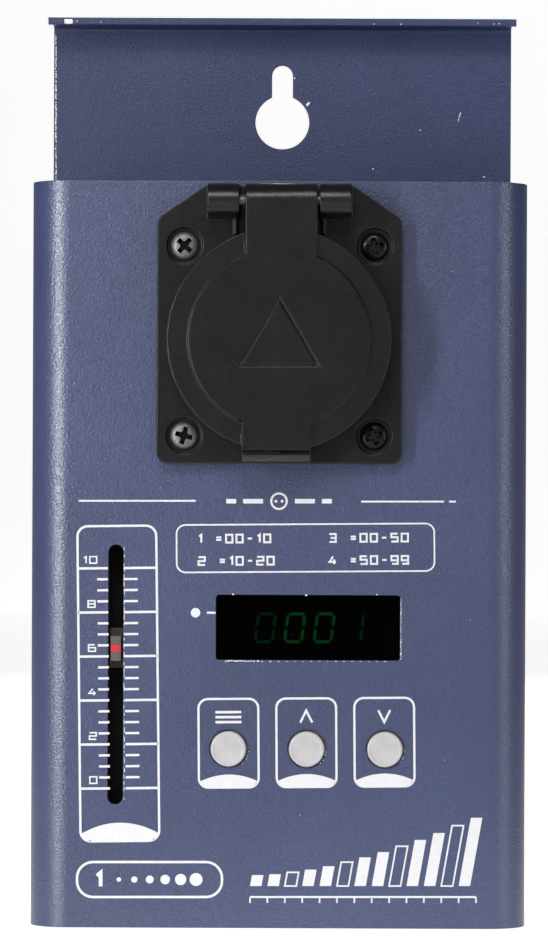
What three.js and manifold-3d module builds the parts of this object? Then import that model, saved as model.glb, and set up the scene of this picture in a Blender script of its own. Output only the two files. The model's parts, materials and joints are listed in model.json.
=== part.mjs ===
// A wall-hung single-channel dimmer pack: folded steel case, lidded outlet socket, fader,
// display, three push buttons, and the boards, connectors and wiring inside.
// Millimetres. X runs across, seen from the front, Y from the wall (0) forward (negative), Z up.
import * as THREE from "three";
import { mergeVertices } from "three/addons/utils/BufferGeometryUtils.js";
import Module from "manifold-3d";

// Driving sizes: the folded case
const coverWidth = 100;
const coverHeight = 150;
const caseDepth = 50;
const sheet = 1.2;
const bendRadius = 8;
const plateHeight = 187.5;
const plateBend = 2;
const lipDepth = 10;
const lipSpread = 0.7;
const lipHem = 1.5;
const sideFlangeDepth = 12;
const endRecess = 9;
const topInset = 0.6;
const topTabHeight = 10;
const topTabShare = 0.6;

// Gaps between neighbouring pieces, and how far a cutter runs past what it cuts
const fitGap = 0.3;
const screwGap = 0.2;
const overrun = 1;

// Keyhole in the back plate
const keyholeRadius = 5.7;
const keySlotWidth = 4.4;
const keyholeDrop = 21.05;
const keySlotRise = 9.85;

// Outlet socket
const socketZ = 117.75;
const flangeWidth = 49;
const hingeRoom = 6.5;
const flangeThickness = 2.6;
const flangeCorner = 2;
const clipWidth = 9.8;
const clipHeight = 6.7;
const clipEase = 1.5;
const gasketThickness = 0.8;
const gasketInset = 0.8;
const wellMargin = 5;
const wellDepth = 17.5;
const collarWall = 2.4;
const collarHeight = 4.8;
const barrelWall = 1.7;
const floorThickness = 2.8;
const pinSpacing = 19;
const pinHoleRadius = 2.75;
const guideWidth = 5;
const guideHeight = 1.2;
const guideInset = 2.6;
const screwMargin = 5.5;
const counterboreRadius = 3.6;
const counterboreDepth = 1.7;
const capLength = 17.5;
const capWall = 1.6;

// Earth clip and line contacts of the socket
const clipStrip = 0.8;
const clipStripWidth = 5;
const clipReach = 11;
const clipBulge = 1;
const clipWallGap = 0.5;
const contactWidth = 7;
const contactLength = 11;
const contactBoreDepth = 8;

// Socket lid and its hinge
const lidOverhang = 0.45;
const lidThickness = 2.2;
const lidRim = 4.25;
const raisedStep = 0.8;
const armWidth = 14.3;
const armShift = 0.4;
const armThickness = 2.4;
const hingeInset = 3.25;
const knuckleRadius = 3.3;
const knuckleLength = 6.4;
const knuckleInner = 7.95;
const hingePinRadius = 1.1;
const cheekWidth = 2;
const eyeWall = 0.85;
const tabWidth = 13.8;
const tabDrop = 1.95;
const tabThickness = 1.2;
const tabStep = 1.5;
const tabCurl = 0.4;
const sealWidth = 2.1;
const sealHeight = 1.5;
const gussetWidth = 0.8;
const gussetHeight = 3.2;
const gussetRise = 2;
const signHeight = 13.8;
const signHalfWidth = 8.2;
const signDrop = 5.4;
const signGroove = 0.4;
const signGrooveDepth = 0.3;
const signSideShare = 1.9;
const signTopShare = 2.1;

// Torsion spring on the hinge pin
const springRadius = 1.75;
const springWire = 0.6;
const springTurns = 5.5;
const springPitch = 1.4;
const springStub = 0.9;
const springLegDrop = 5;

// Fader
const faderMargin = 17.4;
const slotLow = 24.7;
const slotHigh = 76.9;
const slotWidth = 3.08;
const pointerZ = 56;
const faderWidth = 9;
const faderHeight = 6.5;
const faderEnd = 4;
const faderWall = 1;
const leverWidth = 2.1;
const leverHeight = 5;
const leverRecess = 0.6;
const carriageHalf = 4;
const pointerHeight = 1.5;
const pointerDepth = 1.1;

// Display and its window
const windowX = 6;
const windowZ = 60.35;
const windowWidth = 37;
const windowHeight = 13.1;
const windowCorner = 0.6;
const windowRecess = 0.15;
const windowFlange = 1.2;
const windowFlangeThickness = 1;
const displayWidth = 30.2;
const displayHeight = 12.6;

// Push buttons and their switches
const buttonX = 5.8;
const buttonPitch = 15.7;
const buttonZ = 36;
const buttonRadius = 3.55;
const buttonProud = 1;
const buttonRim = 0.9;
const buttonRimThickness = 0.8;
const buttonStem = 1.6;
const buttonEdge = 0.4;
const switchSize = 6;
const switchHeight = 3.8;
const switchBoreDepth = 1.5;
const switchReach = 0.7;

// Control board
const studLength = 8.8;
const studRadius = 2.2;
const boardThickness = 1.6;
const boardLeftMargin = 5.8;
const boardRightMargin = 3.8;
const boardLow = 17;
const boardHigh = 86;
const chipWidth = 22;
const chipHeight = 10;
const chipThickness = 1.8;
const chipX = 4;
const chipZ = 73;

// Power board, its rails and what it carries
const rearBoardLow = 34;
const rearBoardHigh = 90;
const railWidth = 4.5;
const railSeat = 2;
const railLip = 1.8;
const railStandoff = 6;
const transformerGap = 2.5;
const transformerZ = 53;
const transformerWidthShare = 0.306;
const transformerHeight = 20;
const transformerDepthShare = 0.743;
const bobbinDepthShare = 0.682;
const bobbinOverhang = 3;
const chokeGap = 2.9;
const chokeZ = 56;
const chokeRingShare = 0.112;
const chokeTube = 3.6;
const chokeSink = 0.4;
const capacitorGap = 0.5;
const capacitorZ = 43;
const capacitorWidthShare = 0.306;
const capacitorHeight = 9;
const capacitorDepthShare = 0.54;
const terminalX = -1;
const terminalZ = 83;
const terminalPitch = 9;
const terminalHeight = 10;
const terminalDepthShare = 0.372;
const terminalBore = 1.7;
const terminalBoreDepth = 4;
const sinkGap = 2;
const sinkPlate = 2.5;
const sinkDepthShare = 0.676;
const sinkLow = 56;
const sinkHigh = 88;
const finLengthShare = 0.188;
const finThickness = 1.2;
const finCount = 5;
const triacThickness = 4.4;
const triacWidth = 10;
const triacHeight = 15;
const triacTab = 1.3;
const triacTabRise = 6;
const triacLeg = 0.9;
const triacLegPitch = 2.54;

// Row of fittings in the bottom end wall
const rowGap = 1.6;
const inputShare = 0.33;
const outputShare = 0.055;
const connectorWidthShare = 0.26;
const connectorHeight = 31;
const connectorCorner = 2;
const connectorFlange = 1.6;
const connectorSideLand = 1.2;
const connectorLength = 22;
const connectorWall = 2.3;
const inputDepth = 15;
const contactPinRadius = 1.2;
const contactPinLength = 11.5;
const outputDepth = 12;
const insertGap = 1.9;
const insertInset = 1;
const tagLength = 4;
const connectorScrewMargin = 3.5;
const connectorScrewY = 12;
const latchWidth = 7;
const latchThickness = 2.4;
const latchGap = 0.4;
const latchProud = 1.2;
const latchLength = 7;
const latchLedge = 1;
const latchLedgeHeight = 1.5;
const fuseShare = 0.185;
const fuseBodyRadius = 6.2;
const fuseBodyLength = 28;
const fuseFlangeRadius = 7.8;
const fuseFlange = 1.5;
const fuseCapRadius = 6.3;
const fuseCapHeight = 5.2;
const fuseStemRadius = 4.4;
const fuseStemLength = 5;
const fuseLinkRadius = 2.6;
const fuseLinkLength = 20;
const driverSlotWidth = 1.2;
const driverSlotDepth = 1.5;
const grommetShare = 0.38;
const grommetBore = 3.9;
const grommetRadius = 7.2;
const grommetNeck = 5.7;
const grommetFlange = 1.7;

// Screws
const socketScrew = { head: 2.8, headHeight: 1.4, shank: 1.5, length: 8, recess: 0.8 };
const coverScrew = { head: 2.75, shank: 1.45, length: 6, recess: 0.8 };
const connectorScrew = { head: 2.6, headHeight: 1.4, shank: 1.4, length: 8, recess: 0.7 };
const crossWidth = 0.7;
const crossLengthShare = 1.25;
const coverScrewZShares = [0.17, 0.83];

// Wires to the socket
const wireRadius = 1;
const wireSteps = 14;
const wireSides = 8;

// How finely round shapes are stepped: points in a full turn, then in a quarter-round corner
const fineSteps = 60;
const midSteps = 20;
const smallSteps = 12;
const bendSteps = 10;
const cornerSteps = 4;
const springSteps = 8;
const springSides = 5;

const wasm = await Module();
wasm.setup();

// Takes a closed three.js geometry to a solid that can be joined and cut.
function solid(geometry) {
  const bare = geometry.index ? geometry.toNonIndexed() : geometry.clone();
  bare.deleteAttribute("normal");
  bare.deleteAttribute("uv");
  const merged = mergeVertices(bare);
  const triangles = [];
  const index = merged.index.array;
  for (let i = 0; i < index.length; i += 3) {
    const [a, b, c] = [index[i], index[i + 1], index[i + 2]];
    if (a !== b && b !== c && c !== a) triangles.push(a, b, c);
  }
  const vertProperties = merged.attributes.position.array;
  return new wasm.Manifold(
    new wasm.Mesh({ numProp: 3, vertProperties, triVerts: new Uint32Array(triangles) }),
  );
}

// Takes a solid back to a three.js geometry.
function geometryOf(made) {
  const { vertProperties, triVerts } = made.getMesh();
  const geometry = new THREE.BufferGeometry();
  geometry.setAttribute("position", new THREE.BufferAttribute(vertProperties, 3));
  geometry.setIndex(new THREE.BufferAttribute(triVerts, 1));
  geometry.computeVertexNormals();
  return geometry;
}

const join = (first, ...others) => others.reduce((sum, next) => sum.add(next), first);
const cut = (first, ...others) => others.reduce((rest, next) => rest.subtract(next), first);

// A range of the given width about a middle
const about = (middle, width) => [middle - width / 2, middle + width / 2];

// For each axis, the turn that takes a shape drawn flat and raised along Z to that axis:
// along X a shape is drawn in Y and Z, along Y in X and Z, along Z in X and Y.
const right = new THREE.Vector3(1, 0, 0);
const back = new THREE.Vector3(0, 1, 0);
const up = new THREE.Vector3(0, 0, 1);
const turns = {
  x: new THREE.Matrix4().makeBasis(back, up, right),
  y: new THREE.Matrix4().makeBasis(right, up, back.clone().negate()),
  z: new THREE.Matrix4(),
};

// A flat outline raised along an axis, from low to high. A curve in the outline, be it a full
// circle or a corner, is drawn with the given steps.
function prism(axis, outline, [low, high], steps = cornerSteps) {
  const start = axis === "y" ? -high : low;
  const options = { depth: high - low, bevelEnabled: false, curveSegments: steps / 2 };
  const geometry = new THREE.ExtrudeGeometry(outline, options).translate(0, 0, start);
  return solid(geometry.applyMatrix4(turns[axis]));
}

// A profile of [radius, place along the axis] turned about an axis through the given place
function turned(axis, profile, [u, v], steps = midSteps) {
  const sign = axis === "y" ? -1 : 1;
  const points = profile.map(([radius, along]) => new THREE.Vector2(radius, sign * along));
  if (THREE.ShapeUtils.area(points) < 0) points.reverse();
  const geometry = new THREE.LatheGeometry(points, steps).rotateX(Math.PI / 2).translate(u, v, 0);
  return solid(geometry.applyMatrix4(turns[axis]));
}

// A closed ring profile between two radii
const ringProfile = (inner, outer, low, high) => [
  [inner, low],
  [outer, low],
  [outer, high],
  [inner, high],
  [inner, low],
];

function box([x0, x1], [y0, y1], [z0, z1]) {
  const geometry = new THREE.BoxGeometry(x1 - x0, y1 - y0, z1 - z0);
  return solid(geometry.translate((x0 + x1) / 2, (y0 + y1) / 2, (z0 + z1) / 2));
}

function circle(u, v, radius) {
  return new THREE.Shape().absarc(u, v, radius, 0, 2 * Math.PI);
}

const rod = (axis, radius, [u, v], range, steps = smallSteps) =>
  prism(axis, circle(u, v, radius), range, steps);

function polygon(points) {
  return new THREE.Shape(points.map(([u, v]) => new THREE.Vector2(u, v)));
}

function roundRect([u0, u1], [v0, v1], radius) {
  const shape = new THREE.Shape();
  shape.absarc(u0 + radius, v0 + radius, radius, Math.PI, 1.5 * Math.PI);
  shape.absarc(u1 - radius, v0 + radius, radius, 1.5 * Math.PI, 2 * Math.PI);
  shape.absarc(u1 - radius, v1 - radius, radius, 0, 0.5 * Math.PI);
  shape.absarc(u0 + radius, v1 - radius, radius, 0.5 * Math.PI, Math.PI);
  shape.closePath();
  return shape;
}

// The case's plan: straight at the back, with two round front corners
function casePlan(half, front, rear, radius) {
  const shape = new THREE.Shape();
  shape.moveTo(half, rear);
  shape.lineTo(-half, rear);
  shape.absarc(-half + radius, front + radius, radius, Math.PI, 1.5 * Math.PI);
  shape.absarc(half - radius, front + radius, radius, 1.5 * Math.PI, 2 * Math.PI);
  shape.closePath();
  return shape;
}

// A tube of given radius through points, closed at both ends
function tube(points, radius, sides) {
  const positions = [];
  const index = [];
  const last = points.length - 1;
  const tangents = points.map((_, i) =>
    new THREE.Vector3()
      .subVectors(points[Math.min(i + 1, last)], points[Math.max(i - 1, 0)])
      .normalize(),
  );
  let normal = new THREE.Vector3().crossVectors(tangents[0], right).normalize();
  points.forEach((point, i) => {
    const along = tangents[i];
    normal = normal.addScaledVector(along, -normal.dot(along)).normalize();
    const side = new THREE.Vector3().crossVectors(along, normal);
    for (let k = 0; k < sides; k += 1) {
      const angle = (2 * Math.PI * k) / sides;
      const rim = point.clone();
      rim.addScaledVector(normal, radius * Math.cos(angle));
      rim.addScaledVector(side, radius * Math.sin(angle));
      positions.push(rim.x, rim.y, rim.z);
    }
  });
  for (let i = 0; i < last; i += 1) {
    for (let k = 0; k < sides; k += 1) {
      const [a, b] = [i * sides + k, i * sides + ((k + 1) % sides)];
      index.push(a, b, b + sides, a, b + sides, a + sides);
    }
  }
  for (let k = 1; k < sides - 1; k += 1) {
    index.push(0, k + 1, k);
    index.push(last * sides, last * sides + k, last * sides + k + 1);
  }
  const geometry = new THREE.BufferGeometry();
  geometry.setAttribute("position", new THREE.Float32BufferAttribute(positions, 3));
  geometry.setIndex(index);
  geometry.computeVertexNormals();
  return geometry;
}

// A screw along +Z with its head's outer face at zero and its shank below. A countersunk head
// has no height of its own: it tapers through the sheet.
function screw({ head, headHeight, shank, length, recess }) {
  const profile = headHeight
    ? [[0, 0], [head - fitGap, 0], [head, -fitGap], [head, -headHeight], [shank, -headHeight]]
    : [[0, 0], [head, 0], [shank, -sheet]];
  profile.push([shank, -length], [0, -length]);
  const cross = crossLengthShare * head;
  return cut(
    turned("z", profile, [0, 0], smallSteps),
    box(about(0, cross), about(0, crossWidth), [-recess, overrun]),
    box(about(0, crossWidth), about(0, cross), [-recess, overrun]),
  );
}

const finish = {
  coat: { color: 0x4f5876, roughness: 0.55, metalness: 0.2 },
  black: { color: 0x1b1b1d, roughness: 0.5, metalness: 0 },
  rubber: { color: 0x151515, roughness: 0.8, metalness: 0 },
  zinc: { color: 0xb9bcc0, roughness: 0.3, metalness: 1 },
  dark: { color: 0x34363a, roughness: 0.4, metalness: 0.9 },
  brass: { color: 0xc9a24a, roughness: 0.35, metalness: 1 },
  button: { color: 0xc4c0c6, roughness: 0.4, metalness: 0 },
  lever: { color: 0x6d6d6d, roughness: 0.5, metalness: 0 },
  red: { color: 0xd83a44, roughness: 0.5, metalness: 0 },
  board: { color: 0x1f5a3a, roughness: 0.5, metalness: 0 },
  glass: { color: 0x0a0d10, roughness: 0.1, metalness: 0 },
  clear: { color: 0xd8dde0, roughness: 0.1, metalness: 0 },
  aluminium: { color: 0xa6a9ac, roughness: 0.45, metalness: 1 },
  orange: { color: 0xb9762f, roughness: 0.6, metalness: 0 },
  blue: { color: 0x2a55a0, roughness: 0.6, metalness: 0 },
  brown: { color: 0x5b3a24, roughness: 0.6, metalness: 0 },
  green: { color: 0x5f8c2a, roughness: 0.6, metalness: 0 },
  grey: { color: 0x77797c, roughness: 0.6, metalness: 0 },
};

const pack = new THREE.Group();

function add(name, made, look, position = [0, 0, 0], rotation = [0, 0, 0]) {
  const geometry = made.isBufferGeometry ? made : geometryOf(made);
  const mesh = new THREE.Mesh(geometry, new THREE.MeshStandardMaterial(finish[look]));
  mesh.name = name;
  mesh.position.set(...position);
  mesh.rotation.set(...rotation);
  pack.add(mesh);
}

// Places worked out from the driving sizes
const innerHalf = coverWidth / 2 - sheet;
const plateHalf = innerHalf - fitGap;
const frontInner = sheet - caseDepth;
const innerBend = Math.max(bendRadius - sheet, fitGap);
const plateBendHalf = innerBend - fitGap;
const throughFront = [-caseDepth - overrun, frontInner + overrun];
const endTop = endRecess + sheet;
const throughEnd = [endRecess - overrun, endTop + overrun];
const topPlateZ = coverHeight - topInset - sheet;
const flangeBack = -caseDepth - gasketThickness;
const flangeFront = flangeBack - flangeThickness;
const rimFront = flangeFront - collarHeight;
const flangeBelow = flangeWidth / 2;
const flangeAbove = flangeBelow + hingeRoom;
const screwSpacing = flangeWidth - 2 * screwMargin;
const wellRadius = flangeWidth / 2 - wellMargin;
const lidRadius = wellRadius + collarWall + lidOverhang;
const raisedRadius = lidRadius - lidRim;
const barrelRadius = wellRadius + barrelWall;
const wellFloor = rimFront + wellDepth;
const floorBack = wellFloor + floorThickness;
const lidBack = rimFront - fitGap;
const lidFront = lidBack - lidThickness;
const raisedFront = lidFront - raisedStep;
const hingeZ = socketZ + flangeAbove - hingeInset;
const hingeY = raisedFront + knuckleRadius;
const knuckleOuter = knuckleInner + knuckleLength;
const pinBore = hingePinRadius + fitGap;
const faderX = faderMargin - coverWidth / 2;
const boardFront = frontInner + studLength;
const boardBack = boardFront + boardThickness;
const boardLeft = boardLeftMargin - innerHalf;
const boardRight = innerHalf - boardRightMargin;
const railOuter = plateHalf - sheet - fitGap;
const railInner = railOuter - railWidth;
const rearBoardHalf = railOuter - railSeat;
const rearBoardBack = -sheet - railStandoff;
const rearBoardFront = rearBoardBack - boardThickness;
const rearBoardRoom = rearBoardFront - boardBack;
const transformerWidth = transformerWidthShare * 2 * railInner;
const transformerDepth = transformerDepthShare * rearBoardRoom;
const transformerX = transformerGap + transformerWidth / 2 - railInner;
const chokeRing = chokeRingShare * 2 * railInner;
const chokeX = transformerX + transformerWidth / 2 + chokeGap + chokeRing + chokeTube;
const capacitorWidth = capacitorWidthShare * 2 * railInner;
const capacitorX = railInner - capacitorGap - capacitorWidth / 2;
const finLength = finLengthShare * 2 * railInner;
const sinkX = railInner - sinkGap - finLength - sinkPlate;
const sinkDepth = sinkDepthShare * rearBoardRoom;
const terminalDepth = terminalDepthShare * rearBoardRoom;
const screwPlaces = [
  [-screwSpacing / 2, socketZ + screwSpacing / 2],
  [screwSpacing / 2, socketZ + screwSpacing / 2],
  [-screwSpacing / 2, socketZ - screwSpacing / 2],
  [screwSpacing / 2, socketZ - screwSpacing / 2],
];
const buttonPlaces = [-1, 0, 1].map((k) => buttonX + k * buttonPitch);
const coverScrewY = -sideFlangeDepth / 2 - sheet / 2;
const coverScrewPlaces = coverScrewZShares.flatMap((share) => [
  { side: -1, z: share * coverHeight },
  { side: 1, z: share * coverHeight },
]);
const inputX = inputShare * coverWidth;
const outputX = outputShare * coverWidth;
const fuseX = -fuseShare * coverWidth;
const grommetX = -grommetShare * coverWidth;
const connectorWidth = connectorWidthShare * coverWidth;
const connectorRadius = connectorWidth / 2 - connectorSideLand;
const connectorBore = connectorRadius - connectorWall;
const contactCircle = connectorBore / 2;
const insertRadius = connectorBore - insertGap;
const connectorScrewX = connectorWidth / 2 - connectorScrewMargin;
const rowY = boardBack + rowGap + connectorRadius;
const screwsAbout = (x) => [
  [x - connectorScrewX, rowY + connectorScrewY],
  [x + connectorScrewX, rowY - connectorScrewY],
];
const connectorScrewPlaces = [...screwsAbout(inputX), ...screwsAbout(outputX)];
const latchY = rowY - connectorRadius - latchGap - latchThickness / 2;

// Rear chassis: back plate with its top lip, side flanges and bottom end wall, from one sheet
function rearChassis() {
  const lipInner = plateHeight - sheet;
  const profile = new THREE.Shape();
  profile.moveTo(-lipDepth, lipInner);
  profile.lineTo(-plateBend, lipInner);
  profile.absarc(-plateBend, plateHeight - plateBend, plateBend - sheet, 0.5 * Math.PI, 0, true);
  profile.lineTo(-sheet, endRecess);
  profile.lineTo(0, endRecess);
  profile.absarc(-plateBend, plateHeight - plateBend, plateBend, 0, 0.5 * Math.PI);
  profile.lineTo(-lipDepth, plateHeight);
  profile.closePath();
  const plate = prism("x", profile, [-plateHalf, plateHalf]);
  const lipEdge = plateHalf + lipSpread;
  const hem = box([-lipEdge, lipEdge], [-lipDepth, sheet - lipDepth], [plateHeight - lipHem, plateHeight]);
  const endPlan = casePlan(plateHalf, frontInner + fitGap, 0, plateBendHalf);
  const endWall = prism("z", endPlan, [endRecess, endTop], bendSteps);
  const flangeRange = [endRecess, topPlateZ - fitGap];
  const sides = [-1, 1].map((side) => {
    const edges = [side * plateHalf, side * (plateHalf - sheet)].sort((a, b) => a - b);
    return box(edges, [-sideFlangeDepth, 0], flangeRange);
  });
  const keyZ = plateHeight - keyholeDrop;
  const throughPlate = [-sheet - overrun, overrun];
  const keyhole = join(
    rod("y", keyholeRadius, [0, keyZ], throughPlate, fineSteps),
    box(about(0, keySlotWidth), throughPlate, [keyZ, keyZ + keySlotRise]),
    rod("y", keySlotWidth / 2, [0, keyZ + keySlotRise], throughPlate, midSteps),
  );
  const connectorHoles = [inputX, outputX].map((x) =>
    rod("z", connectorRadius + fitGap, [x, rowY], throughEnd, midSteps),
  );
  const screwHoles = connectorScrewPlaces.map((place) =>
    rod("z", connectorScrew.shank + screwGap, place, throughEnd),
  );
  const flangeHoles = coverScrewPlaces.map(({ side, z }) => {
    const range = [side * innerHalf, side * (plateHalf - sheet - overrun)].sort((a, b) => a - b);
    return rod("x", coverScrew.shank + screwGap, [coverScrewY, z], range);
  });
  return cut(
    join(plate, hem, endWall, ...sides),
    keyhole,
    ...connectorHoles,
    ...screwHoles,
    ...flangeHoles,
    rod("z", fuseBodyRadius + fitGap, [fuseX, rowY], throughEnd, midSteps),
    rod("z", grommetNeck + fitGap, [grommetX, rowY], throughEnd, midSteps),
    box(
      about(outputX, latchWidth + 2 * fitGap),
      about(latchY, latchThickness + 2 * fitGap),
      throughEnd,
    ),
  );
}

// Top end plate, with a tab that lies on the back plate
function topEndPlate() {
  const plan = casePlan(plateHalf, frontInner + fitGap, -sheet, plateBendHalf);
  const tabHalf = topTabShare * plateHalf;
  return join(
    prism("z", plan, [topPlateZ, topPlateZ + sheet], bendSteps),
    box([-tabHalf, tabHalf], [-2 * sheet, -sheet], [topPlateZ - topTabHeight, topPlateZ + sheet]),
  );
}

// Front cover: a U with round bends, cut out for everything on the front
function frontCover() {
  const outerPlan = casePlan(coverWidth / 2, -caseDepth, 0, bendRadius);
  const outer = prism("z", outerPlan, [0, coverHeight], bendSteps);
  const innerPlan = casePlan(innerHalf, frontInner, overrun, innerBend);
  const inner = prism("z", innerPlan, [-overrun, coverHeight + overrun], bendSteps);
  const slot = roundRect(about(faderX, slotWidth), [slotLow, slotHigh], slotWidth / 2);
  const opening = roundRect(about(windowX, windowWidth), about(windowZ, windowHeight), windowCorner);
  const sinks = coverScrewPlaces.map(({ side, z }) => {
    const { head, shank } = coverScrew;
    const profile = [
      [0, coverWidth / 2 + overrun],
      [head + screwGap, coverWidth / 2 + overrun],
      [head + screwGap, coverWidth / 2],
      [shank + screwGap, innerHalf],
      [shank + screwGap, innerHalf - overrun],
      [0, innerHalf - overrun],
    ].map(([radius, along]) => [radius, side * along]);
    return turned("x", profile, [coverScrewY, z], smallSteps);
  });
  return cut(
    outer,
    inner,
    rod("y", barrelRadius + fitGap, [0, socketZ], throughFront, fineSteps),
    ...screwPlaces.map((place) => rod("y", socketScrew.shank + screwGap, place, throughFront)),
    prism("y", slot, throughFront),
    prism("y", opening, throughFront),
    ...buttonPlaces.map((x) => rod("y", buttonRadius + fitGap, [x, buttonZ], throughFront, midSteps)),
    ...sinks,
  );
}

// The socket's outline: square, with round lower corners and clipped, eased upper ones
function socketOutline(inset) {
  const half = flangeWidth / 2 - inset;
  const low = socketZ - flangeBelow + inset;
  const high = socketZ + flangeAbove - inset;
  const clipLow = high - clipHeight;
  const clip = Math.hypot(clipWidth, clipHeight);
  const [easeX, easeZ] = [(clipEase * clipWidth) / clip, (clipEase * clipHeight) / clip];
  const shape = new THREE.Shape();
  shape.absarc(-half + flangeCorner, low + flangeCorner, flangeCorner, Math.PI, 1.5 * Math.PI);
  shape.absarc(half - flangeCorner, low + flangeCorner, flangeCorner, 1.5 * Math.PI, 2 * Math.PI);
  shape.lineTo(half, clipLow - clipEase);
  shape.quadraticCurveTo(half, clipLow, half - easeX, clipLow + easeZ);
  shape.lineTo(half - clipWidth, high);
  shape.lineTo(clipWidth - half, high);
  shape.lineTo(easeX - half, clipLow + easeZ);
  shape.quadraticCurveTo(-half, clipLow, -half, clipLow - clipEase);
  shape.closePath();
  return shape;
}

// The parts of the earth clip that pass through the well floor
const clipOuter = wellRadius - clipWallGap;
const clipFront = wellFloor - clipReach;
const clipBack = floorBack + fitGap + clipStrip;

function socketBody() {
  const rooted = flangeFront + flangeThickness / 2;
  const ear = new THREE.Shape();
  ear.moveTo(rooted, hingeZ - knuckleRadius);
  ear.lineTo(hingeY, hingeZ - knuckleRadius);
  ear.absarc(hingeY, hingeZ, knuckleRadius, 1.5 * Math.PI, 0.5 * Math.PI, true);
  ear.lineTo(rooted, hingeZ + knuckleRadius);
  ear.closePath();
  const knuckles = [-1, 1].map((side) => {
    const range = [side * knuckleInner, side * knuckleOuter].sort((a, b) => a - b);
    return prism("x", ear, range, smallSteps);
  });
  const gussets = [-1, 1].map((side) =>
    box(
      about(side * (knuckleInner + gussetWidth), gussetWidth),
      [flangeFront - gussetRise, rooted],
      [hingeZ - knuckleRadius - gussetHeight, hingeZ - knuckleRadius],
    ),
  );
  const guides = [-1, 1].map((side) => {
    const range = [side * (wellRadius - guideHeight), side * (wellRadius + barrelWall / 2)];
    return box(
      range.sort((a, b) => a - b),
      [rimFront + guideInset, wellFloor],
      about(socketZ, guideWidth),
    );
  });
  const counterbore = [flangeFront - overrun, flangeFront + counterboreDepth];
  const slotHeight = clipStrip + 2 * fitGap;
  const earthSlots = [-1, 1].map((side) =>
    box(
      about(0, clipStripWidth + 2 * fitGap),
      [wellFloor - overrun, floorBack + overrun],
      about(socketZ + side * (clipOuter - clipStrip / 2), slotHeight),
    ),
  );
  const hollow = cut(
    join(
      prism("y", socketOutline(0), [flangeFront, flangeBack], smallSteps),
      rod("y", wellRadius + collarWall, [0, socketZ], [rimFront, rooted], fineSteps),
      rod("y", barrelRadius, [0, socketZ], [rooted, floorBack], fineSteps),
      ...knuckles,
      ...gussets,
    ),
    rod("y", wellRadius, [0, socketZ], [rimFront - overrun, wellFloor], fineSteps),
  );
  return cut(
    join(hollow, ...guides),
    ...[-1, 1].map((side) =>
      rod(
        "y",
        pinHoleRadius,
        [(side * pinSpacing) / 2, socketZ],
        [wellFloor - overrun, floorBack + overrun],
      ),
    ),
    ...earthSlots,
    ...screwPlaces.map((place) => rod("y", counterboreRadius, place, counterbore, fineSteps)),
    ...screwPlaces.map((place) =>
      rod("y", socketScrew.shank + screwGap, place, [flangeFront - overrun, flangeBack + overrun]),
    ),
    rod("x", pinBore, [hingeY, hingeZ], [-knuckleOuter - overrun, knuckleOuter + overrun]),
  );
}

function socketGasket() {
  const range = [flangeBack, -caseDepth];
  const through = [flangeBack - overrun, overrun - caseDepth];
  return cut(
    prism("y", socketOutline(gasketInset), range, smallSteps),
    rod("y", barrelRadius + fitGap, [0, socketZ], through, fineSteps),
    ...screwPlaces.map((place) => rod("y", socketScrew.shank + screwGap, place, through)),
  );
}

// Wire entries in the socket's rear cap, one below each terminal
const wireEntries = [-pinSpacing / 2, 0, pinSpacing / 2];
const entryY = floorBack + capLength / 2;

function socketRearCap() {
  const capBack = floorBack + capLength;
  const shell = cut(
    rod("y", barrelRadius, [0, socketZ], [floorBack, capBack], fineSteps),
    rod("y", barrelRadius - capWall, [0, socketZ], [floorBack - overrun, capBack - capWall], fineSteps),
  );
  const entryWidth = 2 * wireRadius + 4 * fitGap;
  return cut(
    shell,
    ...wireEntries.map((x) =>
      box(about(x, entryWidth), about(entryY, entryWidth), [socketZ - barrelRadius - overrun, socketZ]),
    ),
  );
}

function lineContact(x) {
  const front = floorBack + fitGap;
  return cut(
    box(about(x, contactWidth), [front, front + contactLength], about(socketZ, contactWidth)),
    rod("y", pinHoleRadius, [x, socketZ], [front - overrun, front + contactBoreDepth]),
  );
}

// Earth clip: a strip behind the well floor with a bowed finger up each side of the well
function earthClip() {
  const inner = clipOuter - clipStrip;
  const bowY = (clipFront + wellFloor) / 2;
  const half = [
    [clipBack, 0],
    [clipBack, clipOuter],
    [wellFloor, clipOuter],
    [bowY, clipOuter - clipBulge],
    [clipFront, clipOuter],
    [clipFront, inner],
    [bowY, inner - clipBulge],
    [wellFloor, inner],
    [clipBack - clipStrip, inner],
    [clipBack - clipStrip, 0],
  ];
  const upper = prism("x", polygon(half.map(([y, z]) => [y, socketZ + z])), about(0, clipStripWidth));
  const lower = prism("x", polygon(half.map(([y, z]) => [y, socketZ - z])), about(0, clipStripWidth));
  return join(upper, lower);
}

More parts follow.
